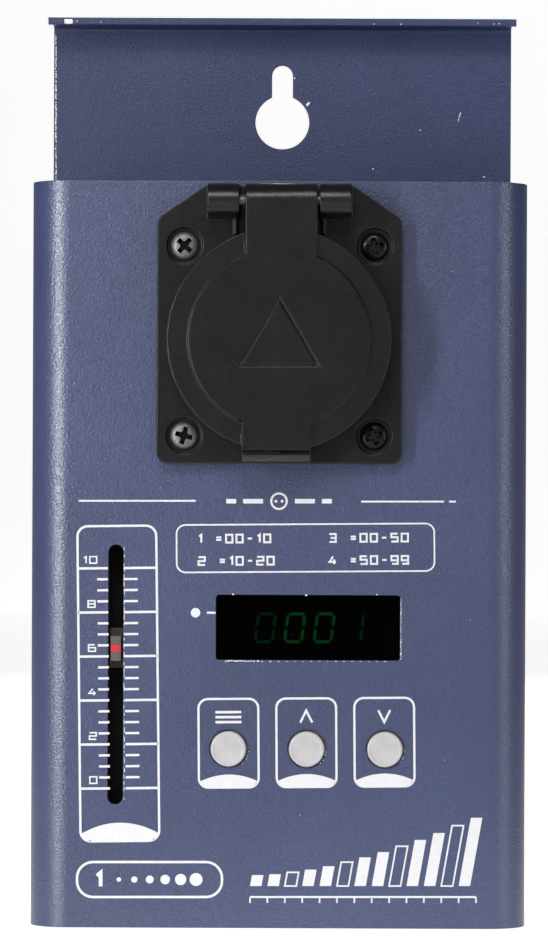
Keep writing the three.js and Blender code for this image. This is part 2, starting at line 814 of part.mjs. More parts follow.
// Lid: a disc with a raised middle, a strap up to its hinge eye, and a lift tab below
function socketLid() {
  const armBack = raisedFront + armThickness;
  const armRange = about(armShift, armWidth);
  const hollowRange = [armRange[0] + cheekWidth, armRange[1] - cheekWidth];
  const tabTop = socketZ - raisedRadius / 2;
  const tabBend = socketZ - lidRadius + tabThickness / 3;
  const tabLow = socketZ - lidRadius - tabDrop;
  const tab = polygon([
    [raisedFront, tabTop],
    [raisedFront, tabBend],
    [raisedFront + tabStep, tabBend - tabThickness / 2],
    [raisedFront + tabStep - tabCurl, tabLow],
    [lidBack + tabThickness, tabLow],
    [lidBack + 2 * tabThickness, tabLow + tabThickness],
    [lidBack, socketZ - wellRadius - collarWall - fitGap],
    [lidBack, tabTop],
  ]);
  const strap = new THREE.Shape();
  const strapEnd = -Math.acos((armBack - hingeY) / knuckleRadius);
  strap.moveTo(raisedFront, socketZ);
  strap.lineTo(raisedFront, hingeZ);
  strap.absarc(hingeY, hingeZ, knuckleRadius, Math.PI, strapEnd, true);
  strap.lineTo(armBack, socketZ);
  strap.closePath();
  const eyeHollow = join(
    rod("x", knuckleRadius - eyeWall, [hingeY, hingeZ], hollowRange, midSteps),
    box(hollowRange, [hingeY, hingeY + 2 * knuckleRadius], about(hingeZ, 4 * knuckleRadius)),
  );
  const signLow = socketZ - signDrop;
  const corners = (inset) => [
    [-signHalfWidth + signSideShare * inset, signLow + inset],
    [signHalfWidth - signSideShare * inset, signLow + inset],
    [0, signLow + signHeight - signTopShare * inset],
  ];
  const signRange = [raisedFront - overrun, raisedFront + signGrooveDepth];
  const sign = cut(
    prism("y", polygon(corners(0)), signRange),
    prism("y", polygon(corners(signGroove)), signRange),
  );
  return cut(
    join(
      rod("y", lidRadius, [0, socketZ], [lidFront, lidBack], fineSteps),
      rod("y", raisedRadius, [0, socketZ], [raisedFront, lidBack], fineSteps),
      prism("x", strap, armRange, midSteps),
      prism("x", tab, about(-armShift, tabWidth)),
    ),
    eyeHollow,
    rod("x", pinBore, [hingeY, hingeZ], [-knuckleOuter, knuckleOuter]),
    sign,
  );
}

function lidSeal() {
  const outer = wellRadius - fitGap;
  const profile = ringProfile(outer - sealWidth, outer, lidBack, lidBack + sealHeight);
  return turned("y", profile, [0, socketZ], fineSteps);
}

// Lid spring: a helix on the hinge pin, a stub on the lid's side and a leg down to the flange
function lidSpring() {
  const points = [];
  const steps = springTurns * springSteps;
  const startX = armShift - (springTurns * springPitch) / 2;
  const at = (x, angle) =>
    new THREE.Vector3(
      x,
      hingeY + springRadius * Math.sin(angle),
      hingeZ - springRadius * Math.cos(angle),
    );
  points.push(at(startX, -Math.PI / 2).add(new THREE.Vector3(0, 0, -springStub)));
  for (let i = 0; i <= steps; i += 1) {
    const turn = i / springSteps;
    points.push(at(startX + turn * springPitch, -Math.PI / 2 - 2 * Math.PI * turn));
  }
  const end = points[points.length - 1];
  const foot = end.clone().add(new THREE.Vector3(0, 0, -springLegDrop));
  points.push(foot);
  points.push(new THREE.Vector3(foot.x, flangeFront - fitGap, foot.z - springWire));
  let least = Infinity;
  points.forEach((a, i) =>
    points.slice(i + springSteps - 1).forEach((b) => {
      least = Math.min(least, a.distanceTo(b) - springWire);
    }),
  );
  console.log("lid spring: least gap to itself " + least.toFixed(2) + " mm");
  return tube(points, springWire / 2, springSides);
}

// Fader: a slotted body on the control board, a lever whose carriage runs in it, a red pointer
const faderFront = boardFront - faderHeight;
const channelFront = faderFront + faderWall;
const leverTip = -caseDepth + leverRecess;

function faderBody() {
  const low = slotLow - faderEnd;
  const high = slotHigh + faderEnd;
  return cut(
    box(about(faderX, faderWidth), [faderFront, boardFront], [low, high]),
    box(
      [faderX - faderWidth / 2 + faderWall, faderX + faderWidth / 2 - faderWall],
      [channelFront, boardFront - faderWall],
      [low + faderWall, high - faderWall],
    ),
    box(
      about(faderX, leverWidth + 2 * fitGap),
      [faderFront - overrun, channelFront + overrun],
      [slotLow, slotHigh],
    ),
  );
}

function faderLever() {
  const carriageWidth = faderWidth - 2 * faderWall - 2 * fitGap;
  return cut(
    join(
      box(
        about(faderX, carriageWidth),
        [channelFront + fitGap, boardFront - faderWall - fitGap],
        about(pointerZ, 2 * carriageHalf),
      ),
      box(about(faderX, leverWidth), [leverTip, channelFront + overrun], about(pointerZ, leverHeight)),
    ),
    box(
      about(faderX, leverWidth + 2 * overrun),
      [leverTip - overrun, leverTip + pointerDepth],
      about(pointerZ, pointerHeight),
    ),
  );
}

const faderPointer = () =>
  box(about(faderX, leverWidth), [leverTip, leverTip + pointerDepth], about(pointerZ, pointerHeight));

// Control board, with its studs, switches, buttons, display, window and processor
const studPlaces = [
  [windowX - windowWidth / 2 - 2 * studRadius, boardHigh - 2 * studRadius],
  [boardRight - 3 * studRadius, boardHigh - 2 * studRadius],
  [buttonX, boardLow + 2 * studRadius],
];

function buttonCap(x) {
  const face = -caseDepth - buttonProud;
  const rimFrontY = frontInner + fitGap;
  const rimBack = rimFrontY + buttonRimThickness;
  const tip = boardFront - switchHeight + switchReach;
  const profile = [
    [0, face],
    [buttonRadius - buttonEdge, face],
    [buttonRadius, face + buttonEdge],
    [buttonRadius, rimFrontY],
    [buttonRadius + buttonRim, rimFrontY],
    [buttonRadius + buttonRim, rimBack],
    [buttonStem, rimBack],
    [buttonStem, tip],
    [0, tip],
  ];
  return turned("y", profile, [x, buttonZ]);
}

function tactSwitch(x) {
  const top = boardFront - switchHeight;
  return cut(
    box(about(x, switchSize), [top, boardFront], about(buttonZ, switchSize)),
    rod("y", buttonStem + fitGap, [x, buttonZ], [top - overrun, top + switchBoreDepth]),
  );
}

const windowBack = frontInner + windowFlangeThickness;

function displayWindow() {
  const glassWidth = windowWidth - 2 * fitGap;
  const glassHeight = windowHeight - 2 * fitGap;
  const pane = roundRect(about(windowX, glassWidth), about(windowZ, glassHeight), windowCorner);
  return join(
    prism("y", pane, [windowRecess - caseDepth, windowBack]),
    box(
      about(windowX, windowWidth + 2 * windowFlange),
      [frontInner, windowBack],
      about(windowZ, windowHeight + 2 * windowFlange),
    ),
  );
}

// Power board, held at both sides in slotted rails on the back plate
function boardRail(side) {
  const across = (from, to) => [side * from, side * to].sort((a, b) => a - b);
  const range = [rearBoardLow, rearBoardHigh];
  return cut(
    box(across(railInner, railOuter), [rearBoardFront - railLip, -sheet], range),
    box(
      across(railInner - overrun, rearBoardHalf + fitGap),
      [rearBoardFront - fitGap, rearBoardBack + fitGap],
      [rearBoardLow - overrun, rearBoardHigh + overrun],
    ),
  );
}

function transformer() {
  const bobbinDepth = bobbinDepthShare * transformerDepth;
  const coilBack = rearBoardFront - (transformerDepth - bobbinDepth) / 2;
  return join(
    box(
      about(transformerX, transformerWidth),
      [rearBoardFront - transformerDepth, rearBoardFront],
      about(transformerZ, transformerHeight - 2 * bobbinOverhang),
    ),
    box(
      about(transformerX, transformerWidth - 2 * bobbinOverhang),
      [coilBack - bobbinDepth, coilBack],
      about(transformerZ, transformerHeight),
    ),
  );
}

function choke() {
  const ring = new THREE.TorusGeometry(chokeRing, chokeTube, springSteps, midSteps);
  ring.rotateX(Math.PI / 2).translate(chokeX, rearBoardFront - chokeTube + chokeSink, chokeZ);
  const reach = 2 * (chokeRing + chokeTube + overrun);
  const behind = [rearBoardFront, rearBoardFront + chokeTube];
  return cut(solid(ring), box(about(chokeX, reach), behind, about(chokeZ, reach)));
}

function terminalBlock() {
  const width = 3 * terminalPitch;
  const top = terminalZ + terminalHeight / 2;
  const front = rearBoardFront - terminalDepth;
  const middle = rearBoardFront - terminalDepth / 2;
  const places = [-1, 0, 1].map((k) => terminalX + k * terminalPitch);
  const screwBore = [front - overrun, front + terminalBore];
  return cut(
    box(about(terminalX, width), [front, rearBoardFront], about(terminalZ, terminalHeight)),
    ...places.map((x) => rod("z", terminalBore, [x, middle], [top - terminalBoreDepth, top + overrun])),
    ...places.map((x) => rod("y", terminalBore, [x, terminalZ], screwBore)),
  );
}

function heatSink() {
  const fins = Array.from({ length: finCount }, (_, k) => {
    const y = rearBoardFront - finThickness - (k * (sinkDepth - 2 * finThickness)) / (finCount - 1);
    return box(
      [sinkX, sinkX + sinkPlate + finLength],
      about(y, finThickness),
      [sinkLow, sinkHigh],
    );
  });
  const depth = [rearBoardFront - sinkDepth, rearBoardFront];
  return join(box([sinkX, sinkX + sinkPlate], depth, [sinkLow, sinkHigh]), ...fins);
}

function triac() {
  const z = (sinkLow + sinkHigh) / 2;
  const bodyBack = rearBoardFront - sinkDepth / 2 + triacHeight / 4;
  const bodyRange = [bodyBack - triacHeight + triacTabRise, bodyBack];
  const legX = sinkX - triacThickness / 2;
  const legRange = [bodyBack - overrun, rearBoardFront];
  const legs = [-1, 0, 1].map((k) =>
    box(about(legX, triacLeg), legRange, about(z + k * triacLegPitch, triacLeg)),
  );
  return join(
    box([sinkX - triacThickness, sinkX], bodyRange, about(z, triacWidth)),
    box([sinkX - triacTab, sinkX], [bodyRange[0] - triacTabRise, bodyRange[1]], about(z, triacWidth)),
    ...legs,
  );
}

// Connectors in the bottom end wall
const mouth = endRecess - connectorFlange;
const contactPlaces = [
  [contactCircle, contactCircle / 4],
  [-contactCircle, contactCircle / 4],
  [0, (-3 * contactCircle) / 4],
];

function connectorShell(x) {
  const plate = roundRect(about(x, connectorWidth), about(rowY, connectorHeight), connectorCorner);
  const top = endRecess + connectorLength;
  return cut(
    join(
      prism("z", plate, [mouth, endRecess]),
      rod("z", connectorRadius, [x, rowY], [mouth, top], midSteps),
      ...contactPlaces.map(([u, v]) =>
        box(
          about(x + u, contactPinRadius),
          about(rowY + v, contactPinRadius),
          [top - overrun, top + tagLength],
        ),
      ),
    ),
    ...screwsAbout(x).map((place) =>
      rod("z", connectorScrew.shank + screwGap, place, [mouth - overrun, endRecess + overrun]),
    ),
  );
}

function inputConnector() {
  const floor = mouth + inputDepth;
  return join(
    cut(
      connectorShell(inputX),
      rod("z", connectorBore, [inputX, rowY], [mouth - overrun, floor], midSteps),
    ),
    ...contactPlaces.map(([u, v]) =>
      rod("z", contactPinRadius, [inputX + u, rowY + v], [floor - contactPinLength, floor + overrun]),
    ),
  );
}

function outputConnector() {
  const floor = mouth + outputDepth;
  const insert = cut(
    rod("z", insertRadius, [outputX, rowY], [mouth + insertInset, floor + overrun], midSteps),
    ...contactPlaces.map(([u, v]) =>
      rod("z", contactPinRadius + fitGap, [outputX + u, rowY + v], [mouth, floor - fitGap]),
    ),
  );
  return join(
    cut(
      connectorShell(outputX),
      rod("z", connectorBore, [outputX, rowY], [mouth - overrun, floor], midSteps),
      box(
        about(outputX, latchWidth + 2 * fitGap),
        about(latchY, latchThickness + 2 * fitGap),
        [mouth - overrun, endRecess + overrun],
      ),
    ),
    insert,
  );
}

// The release latch passes through the flange and the wall, and a ledge keeps it from dropping
function connectorLatch() {
  const top = endTop + latchLength - latchProud - connectorFlange;
  const ledgeLow = endTop + fitGap;
  return join(
    box(about(outputX, latchWidth), about(latchY, latchThickness), [mouth - latchProud, top]),
    box(
      about(outputX, latchWidth + 2 * latchLedge + 2 * fitGap),
      about(latchY, latchThickness),
      [ledgeLow, ledgeLow + latchLedgeHeight],
    ),
  );
}

// Fuse holder, its bayonet cap and the fuse link in its bore
const fuseMouth = endRecess - fuseFlange;
const fuseBoreStart = fuseMouth + fuseStemLength + fitGap;

function fuseHolder() {
  const top = endRecess + fuseBodyLength;
  return turned(
    "z",
    [
      [fuseStemRadius + fitGap, fuseMouth],
      [fuseFlangeRadius, fuseMouth],
      [fuseFlangeRadius, endRecess],
      [fuseBodyRadius, endRecess],
      [fuseBodyRadius, top],
      [0, top],
      [0, fuseBoreStart + fuseLinkLength + 2 * fitGap],
      [fuseLinkRadius + fitGap, fuseBoreStart + fuseLinkLength + 2 * fitGap],
      [fuseLinkRadius + fitGap, fuseBoreStart],
      [fuseStemRadius + fitGap, fuseBoreStart],
      [fuseStemRadius + fitGap, fuseMouth],
    ],
    [fuseX, rowY],
  );
}

function fuseCap() {
  const low = fuseMouth - fitGap - fuseCapHeight;
  const knob = turned(
    "z",
    [
      [0, low],
      [fuseCapRadius - fitGap, low],
      [fuseCapRadius, low + fitGap],
      [fuseCapRadius, fuseMouth - fitGap],
      [fuseStemRadius, fuseMouth - fitGap],
      [fuseStemRadius, fuseBoreStart - fitGap],
      [0, fuseBoreStart - fitGap],
    ],
    [fuseX, rowY],
  );
  return cut(
    knob,
    box(
      about(fuseX, 2 * fuseCapRadius + overrun),
      about(rowY, driverSlotWidth),
      [low - overrun, low + driverSlotDepth],
    ),
  );
}

const fuseLink = () =>
  rod(
    "z",
    fuseLinkRadius,
    [fuseX, rowY],
    [fuseBoreStart, fuseBoreStart + fuseLinkLength],
    smallSteps,
  );

function cableGrommet() {
  const low = endRecess - fitGap;
  const high = endTop + fitGap;
  return turned(
    "z",
    [
      [grommetBore, low - grommetFlange],
      [grommetRadius, low - grommetFlange],
      [grommetRadius, low],
      [grommetNeck, low],
      [grommetNeck, high],
      [grommetRadius, high],
      [grommetNeck, high + grommetFlange],
      [grommetBore, high + grommetFlange],
      [grommetBore, low - grommetFlange],
    ],
    [grommetX, rowY],
  );
}

// Wires from the terminal block up through the rear cap's entries to the socket's contacts
const terminalTop = terminalZ + terminalHeight / 2;
const terminalMiddle = rearBoardFront - terminalDepth / 2;

function wire(points) {
  const path = new THREE.CatmullRomCurve3(points.map((point) => new THREE.Vector3(...point)));
  const section = circle(0, 0, wireRadius);
  return solid(
    new THREE.ExtrudeGeometry(section, {
      steps: wireSteps,
      curveSegments: wireSides / 2,
      bevelEnabled: false,
      extrudePath: path,
    }),
  );
}

function wirePoints(k, end) {
  const x = wireEntries[k];
  const start = terminalX + (k - 1) * terminalPitch;
  const entryZ = socketZ - barrelRadius;
  return [
    [start, terminalMiddle, terminalTop - terminalBoreDepth / 2],
    [start, terminalMiddle, terminalTop + 2 * wireRadius],
    [x, entryY, entryZ - wireRadius],
    [x, entryY, entryZ + 3 * wireRadius],
    ...end,
  ];
}

const contactLow = socketZ - contactWidth / 2 - fitGap;
const liveWire = () => wire(wirePoints(0, [[wireEntries[0], entryY, contactLow]]));
const neutralWire = () => wire(wirePoints(2, [[wireEntries[2], entryY, contactLow]]));

function earthWire() {
  const entryZ = socketZ - barrelRadius;
  const endZ = entryZ + 8 * wireRadius;
  return wire(
    wirePoints(1, [
      [0, entryY - 2 * wireRadius, endZ - wireRadius],
      [0, (entryY + clipBack) / 2 - wireRadius, endZ],
      [0, clipBack + fitGap, endZ],
    ]),
  );
}

add("rear_chassis", rearChassis(), "coat");
add("top_end_plate", topEndPlate(), "coat");
add("front_cover", frontCover(), "coat");
coverScrewPlaces.forEach(({ side, z }, k) => {
  const place = [(side * coverWidth) / 2, coverScrewY, z];
  add("cover_screw_" + (k + 1), screw(coverScrew), "zinc", place, [0, (side * Math.PI) / 2, 0]);
});

add("socket_body", socketBody(), "black");
add("socket_gasket", socketGasket(), "rubber");
add("socket_rear_cap", socketRearCap(), "black");
add("line_contact_left", lineContact(-pinSpacing / 2), "brass");
add("line_contact_right", lineContact(pinSpacing / 2), "brass");
add("earth_clip", earthClip(), "brass");
add("socket_lid", socketLid(), "black");
add("lid_seal", lidSeal(), "rubber");
const pinRange = [-knuckleOuter + fitGap, knuckleOuter - fitGap];
add("hinge_pin", rod("x", hingePinRadius, [hingeY, hingeZ], pinRange), "zinc");
add("lid_spring", lidSpring(), "zinc");
screwPlaces.forEach(([x, z], k) => {
  const place = [x, flangeFront + counterboreDepth - socketScrew.headHeight, z];
  add("socket_screw_" + (k + 1), screw(socketScrew), "zinc", place, [Math.PI / 2, 0, 0]);
});

add("fader_body", faderBody(), "dark");
add("fader_lever", faderLever(), "lever");
add("fader_pointer", faderPointer(), "red");
const boardX = [boardLeft, boardRight];
add("control_board", box(boardX, [boardFront, boardBack], [boardLow, boardHigh]), "board");
studPlaces.forEach((place, k) => {
  add("board_stud_" + (k + 1), rod("y", studRadius, place, [frontInner, boardFront]), "zinc");
});
["menu", "up", "down"].forEach((name, k) => {
  add("button_" + name, buttonCap(buttonPlaces[k]), "button");
  add("switch_" + name, tactSwitch(buttonPlaces[k]), "black");
});
add(
  "display_module",
  box(
    about(windowX, displayWidth),
    [windowBack + fitGap, boardFront],
    about(windowZ, displayHeight),
  ),
  "black",
);
add("display_window", displayWindow(), "glass");
const chipRange = [boardBack, boardBack + chipThickness];
add("microcontroller", box(about(chipX, chipWidth), chipRange, about(chipZ, chipHeight)), "black");

const rearBoardRange = [rearBoardFront, rearBoardBack];
const rearBoardHeight = [rearBoardLow, rearBoardHigh];
const rearBoard = box([-rearBoardHalf, rearBoardHalf], rearBoardRange, rearBoardHeight);
add("power_board", rearBoard, "board");
add("board_rail_left", boardRail(-1), "grey");
add("board_rail_right", boardRail(1), "grey");
add("transformer", transformer(), "dark");
add("choke", choke(), "orange");
add(
  "suppression_capacitor",
  box(
    about(capacitorX, capacitorWidth),
    [rearBoardFront - capacitorDepthShare * rearBoardRoom, rearBoardFront],
    about(capacitorZ, capacitorHeight),
  ),
  "blue",
);
add("terminal_block", terminalBlock(), "green");
add("heat_sink", heatSink(), "aluminium");
add("triac", triac(), "black");

add("input_connector", inputConnector(), "black");
add("output_connector", outputConnector(), "black");
add("output_latch", connectorLatch(), "dark");
connectorScrewPlaces.forEach(([x, y], k) => {
  const place = [x, y, mouth - connectorScrew.headHeight];
  add("connector_screw_" + (k + 1), screw(connectorScrew), "dark", place, [Math.PI, 0, 0]);
});
add("fuse_holder", fuseHolder(), "black");
add("fuse_cap", fuseCap(), "black");
add("fuse_link", fuseLink(), "clear");
add("cable_grommet", cableGrommet(), "rubber");
add("live_wire", liveWire(), "brown");
add("neutral_wire", neutralWire(), "blue");
add("earth_wire", earthWire(), "green");

// The part's origin is at the middle of its footprint, lid included, at the lowest edge.
pack.position.y = -raisedFront / 2;
const dimmerPack = new THREE.Group();
dimmerPack.add(pack);

export default dimmerPack;
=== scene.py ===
"""Looks of a wall-hung dimmer pack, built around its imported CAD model. Metres, front towards -Y."""

import json
import math
import random

import bmesh
import bpy
from mathutils import Matrix, Vector


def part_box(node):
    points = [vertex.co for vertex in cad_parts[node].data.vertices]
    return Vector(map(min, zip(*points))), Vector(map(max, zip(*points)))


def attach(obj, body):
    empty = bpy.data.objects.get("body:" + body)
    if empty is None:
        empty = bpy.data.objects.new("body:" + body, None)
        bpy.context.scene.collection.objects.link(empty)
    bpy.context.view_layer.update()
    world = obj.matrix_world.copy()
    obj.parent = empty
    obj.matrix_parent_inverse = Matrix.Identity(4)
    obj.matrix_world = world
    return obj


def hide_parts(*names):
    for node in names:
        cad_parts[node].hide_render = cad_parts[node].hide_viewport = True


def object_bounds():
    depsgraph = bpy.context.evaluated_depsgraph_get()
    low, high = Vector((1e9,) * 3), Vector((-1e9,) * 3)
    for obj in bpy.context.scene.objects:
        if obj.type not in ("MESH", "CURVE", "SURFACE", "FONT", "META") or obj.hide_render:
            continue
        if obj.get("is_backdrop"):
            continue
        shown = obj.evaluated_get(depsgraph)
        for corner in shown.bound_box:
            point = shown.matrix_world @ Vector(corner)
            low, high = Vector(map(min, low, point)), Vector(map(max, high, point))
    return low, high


MM = 0.001
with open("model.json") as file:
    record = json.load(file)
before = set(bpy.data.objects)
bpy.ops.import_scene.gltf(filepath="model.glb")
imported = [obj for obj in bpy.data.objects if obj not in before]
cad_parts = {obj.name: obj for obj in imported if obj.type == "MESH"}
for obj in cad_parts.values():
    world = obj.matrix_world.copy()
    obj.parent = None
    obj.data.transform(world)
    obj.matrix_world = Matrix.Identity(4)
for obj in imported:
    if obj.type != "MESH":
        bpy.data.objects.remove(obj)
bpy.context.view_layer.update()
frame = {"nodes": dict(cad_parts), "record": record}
nodes = frame["nodes"]


def put(name, data):
    made = bpy.data.objects.new(name, data)
    bpy.context.scene.collection.objects.link(made)
    return made


def as_mesh(bm, name):
    mesh = bpy.data.meshes.new(name)
    bm.to_mesh(mesh)
    bm.free()
    return mesh


def smooth(mesh, sharp_above=None):
    """Shades a mesh smooth, and keeps the edges sharp that turn by more than some degrees"""
    for polygon in mesh.polygons:
        polygon.use_smooth = True
    if sharp_above:
        mesh.set_sharp_from_angle(angle=math.radians(sharp_above))
    return mesh


# Camera: the photograph's place, straight at the front panel, with its small roll

FOCAL_PX = 4235
SENSOR = 36
FRAME_W, FRAME_H = 548, 950
PRINCIPAL = (315, 529.8)
FACE_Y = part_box("front_cover")[0].y
SHEET = 1.2 * MM
LIP_REACH = 10 * MM
PLATE_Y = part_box("rear_chassis")[1].y - SHEET
LIP_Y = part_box("rear_chassis")[1].y - LIP_REACH
CAMERA_X, CAMERA_Z = 7.3 * MM, 80 * MM
CAMERA_GAP = 850 * MM
CAMERA_AT = Vector((CAMERA_X, FACE_Y - CAMERA_GAP, CAMERA_Z))
ROLL = -0.0042
CLIP_NEAR, CLIP_FAR = 0.05, 20

camera_data = bpy.data.cameras.new("photo_camera")
camera_data.sensor_width = SENSOR
camera_data.lens = FOCAL_PX / FRAME_H * SENSOR
camera_data.shift_x = (FRAME_W / 2 - PRINCIPAL[0]) / FRAME_H
camera_data.shift_y = (PRINCIPAL[1] - FRAME_H / 2) / FRAME_H
camera_data.clip_start = CLIP_NEAR
camera_data.clip_end = CLIP_FAR
camera = put("photo_camera", camera_data)
camera.location = CAMERA_AT
camera.rotation_euler = (math.pi / 2, ROLL, 0)
bpy.context.scene.camera = camera


# Light: strips at both sides, a round softbox above and two lamps behind the object

LAMP_AIM = (0, 0, 0.09)
KEY_AIM = (0, 0, 0.1)
# Name, place, target, width, height, watts
LAMPS = (
    ("key_strip", (-0.36, -0.44, 0.16), KEY_AIM, 0.06, 0.42, 2.3),
    ("round_softbox", (-0.08, -0.8, 0.7), LAMP_AIM, 0.35, 0.35, 3.2),
    ("right_strip", (0.52, -0.36, 0.15), LAMP_AIM, 0.1, 0.4, 0.6),
    ("rear_left_lamp", (-0.2, 1.1, 0.7), LAMP_AIM, 0.4, 0.4, 3),
    ("rear_right_lamp", (0.2, 1.1, 0.7), LAMP_AIM, 0.4, 0.4, 3),
)
ROOM_LIGHT = 0.11
WHITE = (1, 1, 1, 1)

for name, at, target, wide, high, power in LAMPS:
    data = bpy.data.lights.new(name, "AREA")
    data.shape = "ELLIPSE"
    data.size = wide
    data.size_y = high
    data.energy = power
    made = put(name, data)
    made.location = at
    made.rotation_euler = (Vector(target) - Vector(at)).to_track_quat("-Z", "Y").to_euler()

world = bpy.data.worlds.new("pale_room")
bpy.context.scene.world = world
world.use_nodes = True
world.node_tree.nodes["Background"].inputs["Color"].default_value = WHITE
world.node_tree.nodes["Background"].inputs["Strength"].default_value = ROOM_LIGHT


# Materials: each is one shader with grain, colour drift and bump worked out from the object's place

DRIFT_DETAIL, FINE_DETAIL = 3, 2
DRIFT_FROM, DRIFT_TO = 0.35, 0.65
GRAIN_STOPS = ((0.3, (0.2, 0.2, 0.2, 1)), (0.7, (0.8, 0.8, 0.8, 1)))
ROUGH_PER_DRIFT = 3
EDGE_SAMPLES = 4
FLAT_DARK = 0.86
COAT = ((46, 55, 91), (52, 61, 99))


def linear(r, g, b):
    """A screen colour, 0 to 255, as the linear one that shaders take"""
    def one(value):
        value /= 255
        return value / 12.92 if value <= 0.04045 else ((value + 0.055) / 1.055) ** 2.4

    return (one(r), one(g), one(b), 1)


def noise(tree, place, scale, detail=FINE_DETAIL, stretch=None):
    source = place
    if stretch:
        mapping = tree.nodes.new("ShaderNodeMapping")
        mapping.inputs["Scale"].default_value = stretch
        tree.links.new(place, mapping.inputs["Vector"])
        source = mapping.outputs["Vector"]
    made = tree.nodes.new("ShaderNodeTexNoise")
    made.inputs["Scale"].default_value = scale
    made.inputs["Detail"].default_value = detail
    tree.links.new(source, made.inputs["Vector"])
    return made.outputs["Fac"]


def ramp(tree, source, stops):
    made = tree.nodes.new("ShaderNodeValToRGB")
    made.color_ramp.elements[0].position, made.color_ramp.elements[0].color = stops[0]
    made.color_ramp.elements[1].position, made.color_ramp.elements[1].color = stops[-1]
    for position, color in stops[1:-1]:
        made.color_ramp.elements.new(position).color = color
    tree.links.new(source, made.inputs["Fac"])
    return made.outputs["Color"]


def spread(tree, source, low, high, from_low=0.3, from_high=0.7):
    made = tree.nodes.new("ShaderNodeMapRange")
    made.inputs["From Min"].default_value = from_low
    made.inputs["From Max"].default_value = from_high
    made.inputs["To Min"].default_value = low
    made.inputs["To Max"].default_value = high
    tree.links.new(source, made.inputs["Value"])
    return made.outputs["Result"]


def surface(
    name,
    dark,
    light,
    drift,
    grain=0,
    grain_share=0.25,
    rough=(0.4, 0.5),
    rough_scale=0,
    metallic=0.0,
    bumps=(),
    stretch=None,
    edge=0.0,
    **sockets,
):
    """A material whose colour drifts from dark to light, with fine grain on top. bumps is a list
    of (scale, depth in metres); edge is the radius that the shader rounds sharp edges by."""
    made = bpy.data.materials.new(name)
    made.use_nodes = True
    tree = made.node_tree
    shader = tree.nodes["Principled BSDF"]
    place = tree.nodes.new("ShaderNodeTexCoord").outputs["Object"]
    drift_at = noise(tree, place, drift, DRIFT_DETAIL, stretch)
    color = ramp(tree, drift_at, [(DRIFT_FROM, dark), (DRIFT_TO, light)])
    if grain:
        mix = tree.nodes.new("ShaderNodeMix")
        mix.data_type = "RGBA"
        mix.blend_type = "OVERLAY"
        mix.inputs["Factor"].default_value = grain_share
        fine = ramp(tree, noise(tree, place, grain), GRAIN_STOPS)
        tree.links.new(color, mix.inputs["A"])
        tree.links.new(fine, mix.inputs["B"])
        color = mix.outputs["Result"]
    tree.links.new(color, shader.inputs["Base Color"])
    rough_at = noise(
        tree, place, rough_scale or drift * ROUGH_PER_DRIFT, DRIFT_DETAIL, stretch
    )
    tree.links.new(spread(tree, rough_at, *rough), shader.inputs["Roughness"])
    shader.inputs["Metallic"].default_value = metallic
    for key, value in sockets.items():
        shader.inputs[key.replace("_", " ")].default_value = value
    normal = None
    if edge:
        rounded = tree.nodes.new("ShaderNodeBevel")
        rounded.samples = EDGE_SAMPLES
        rounded.inputs["Radius"].default_value = edge
        normal = rounded.outputs["Normal"]
    for scale, depth in bumps:
        bump = tree.nodes.new("ShaderNodeBump")
        bump.inputs["Strength"].default_value = 1
        bump.inputs["Distance"].default_value = depth
        height = noise(tree, place, scale, FINE_DETAIL, stretch)
        tree.links.new(height, bump.inputs["Height"])
        if normal:
            tree.links.new(normal, bump.inputs["Normal"])
        normal = bump.outputs["Normal"]
    if normal:
        tree.links.new(normal, shader.inputs["Normal"])
    return made


def flat_surface(name, color, **more):
    darker = tuple(FLAT_DARK * c for c in color[:3]) + (1,)
    return surface(name, darker, color, **more)


def coat(name, share, gloss):
    """The case's coating. A share under one gives a darker copy of it that paints shade, and gloss is
    its shine.
    """
    dark, light = (tuple(share * c for c in linear(*rgb)[:3]) + (1,) for rgb in COAT)
    return surface(
        name,
        dark,
        light,
        drift=28,
        grain=3300,
        grain_share=0.4,
        rough=(0.28, 0.42),
        rough_scale=2300,
        bumps=[(2300, 0.0001)],
        edge=0.00025,
        Specular_IOR_Level=gloss,
    )


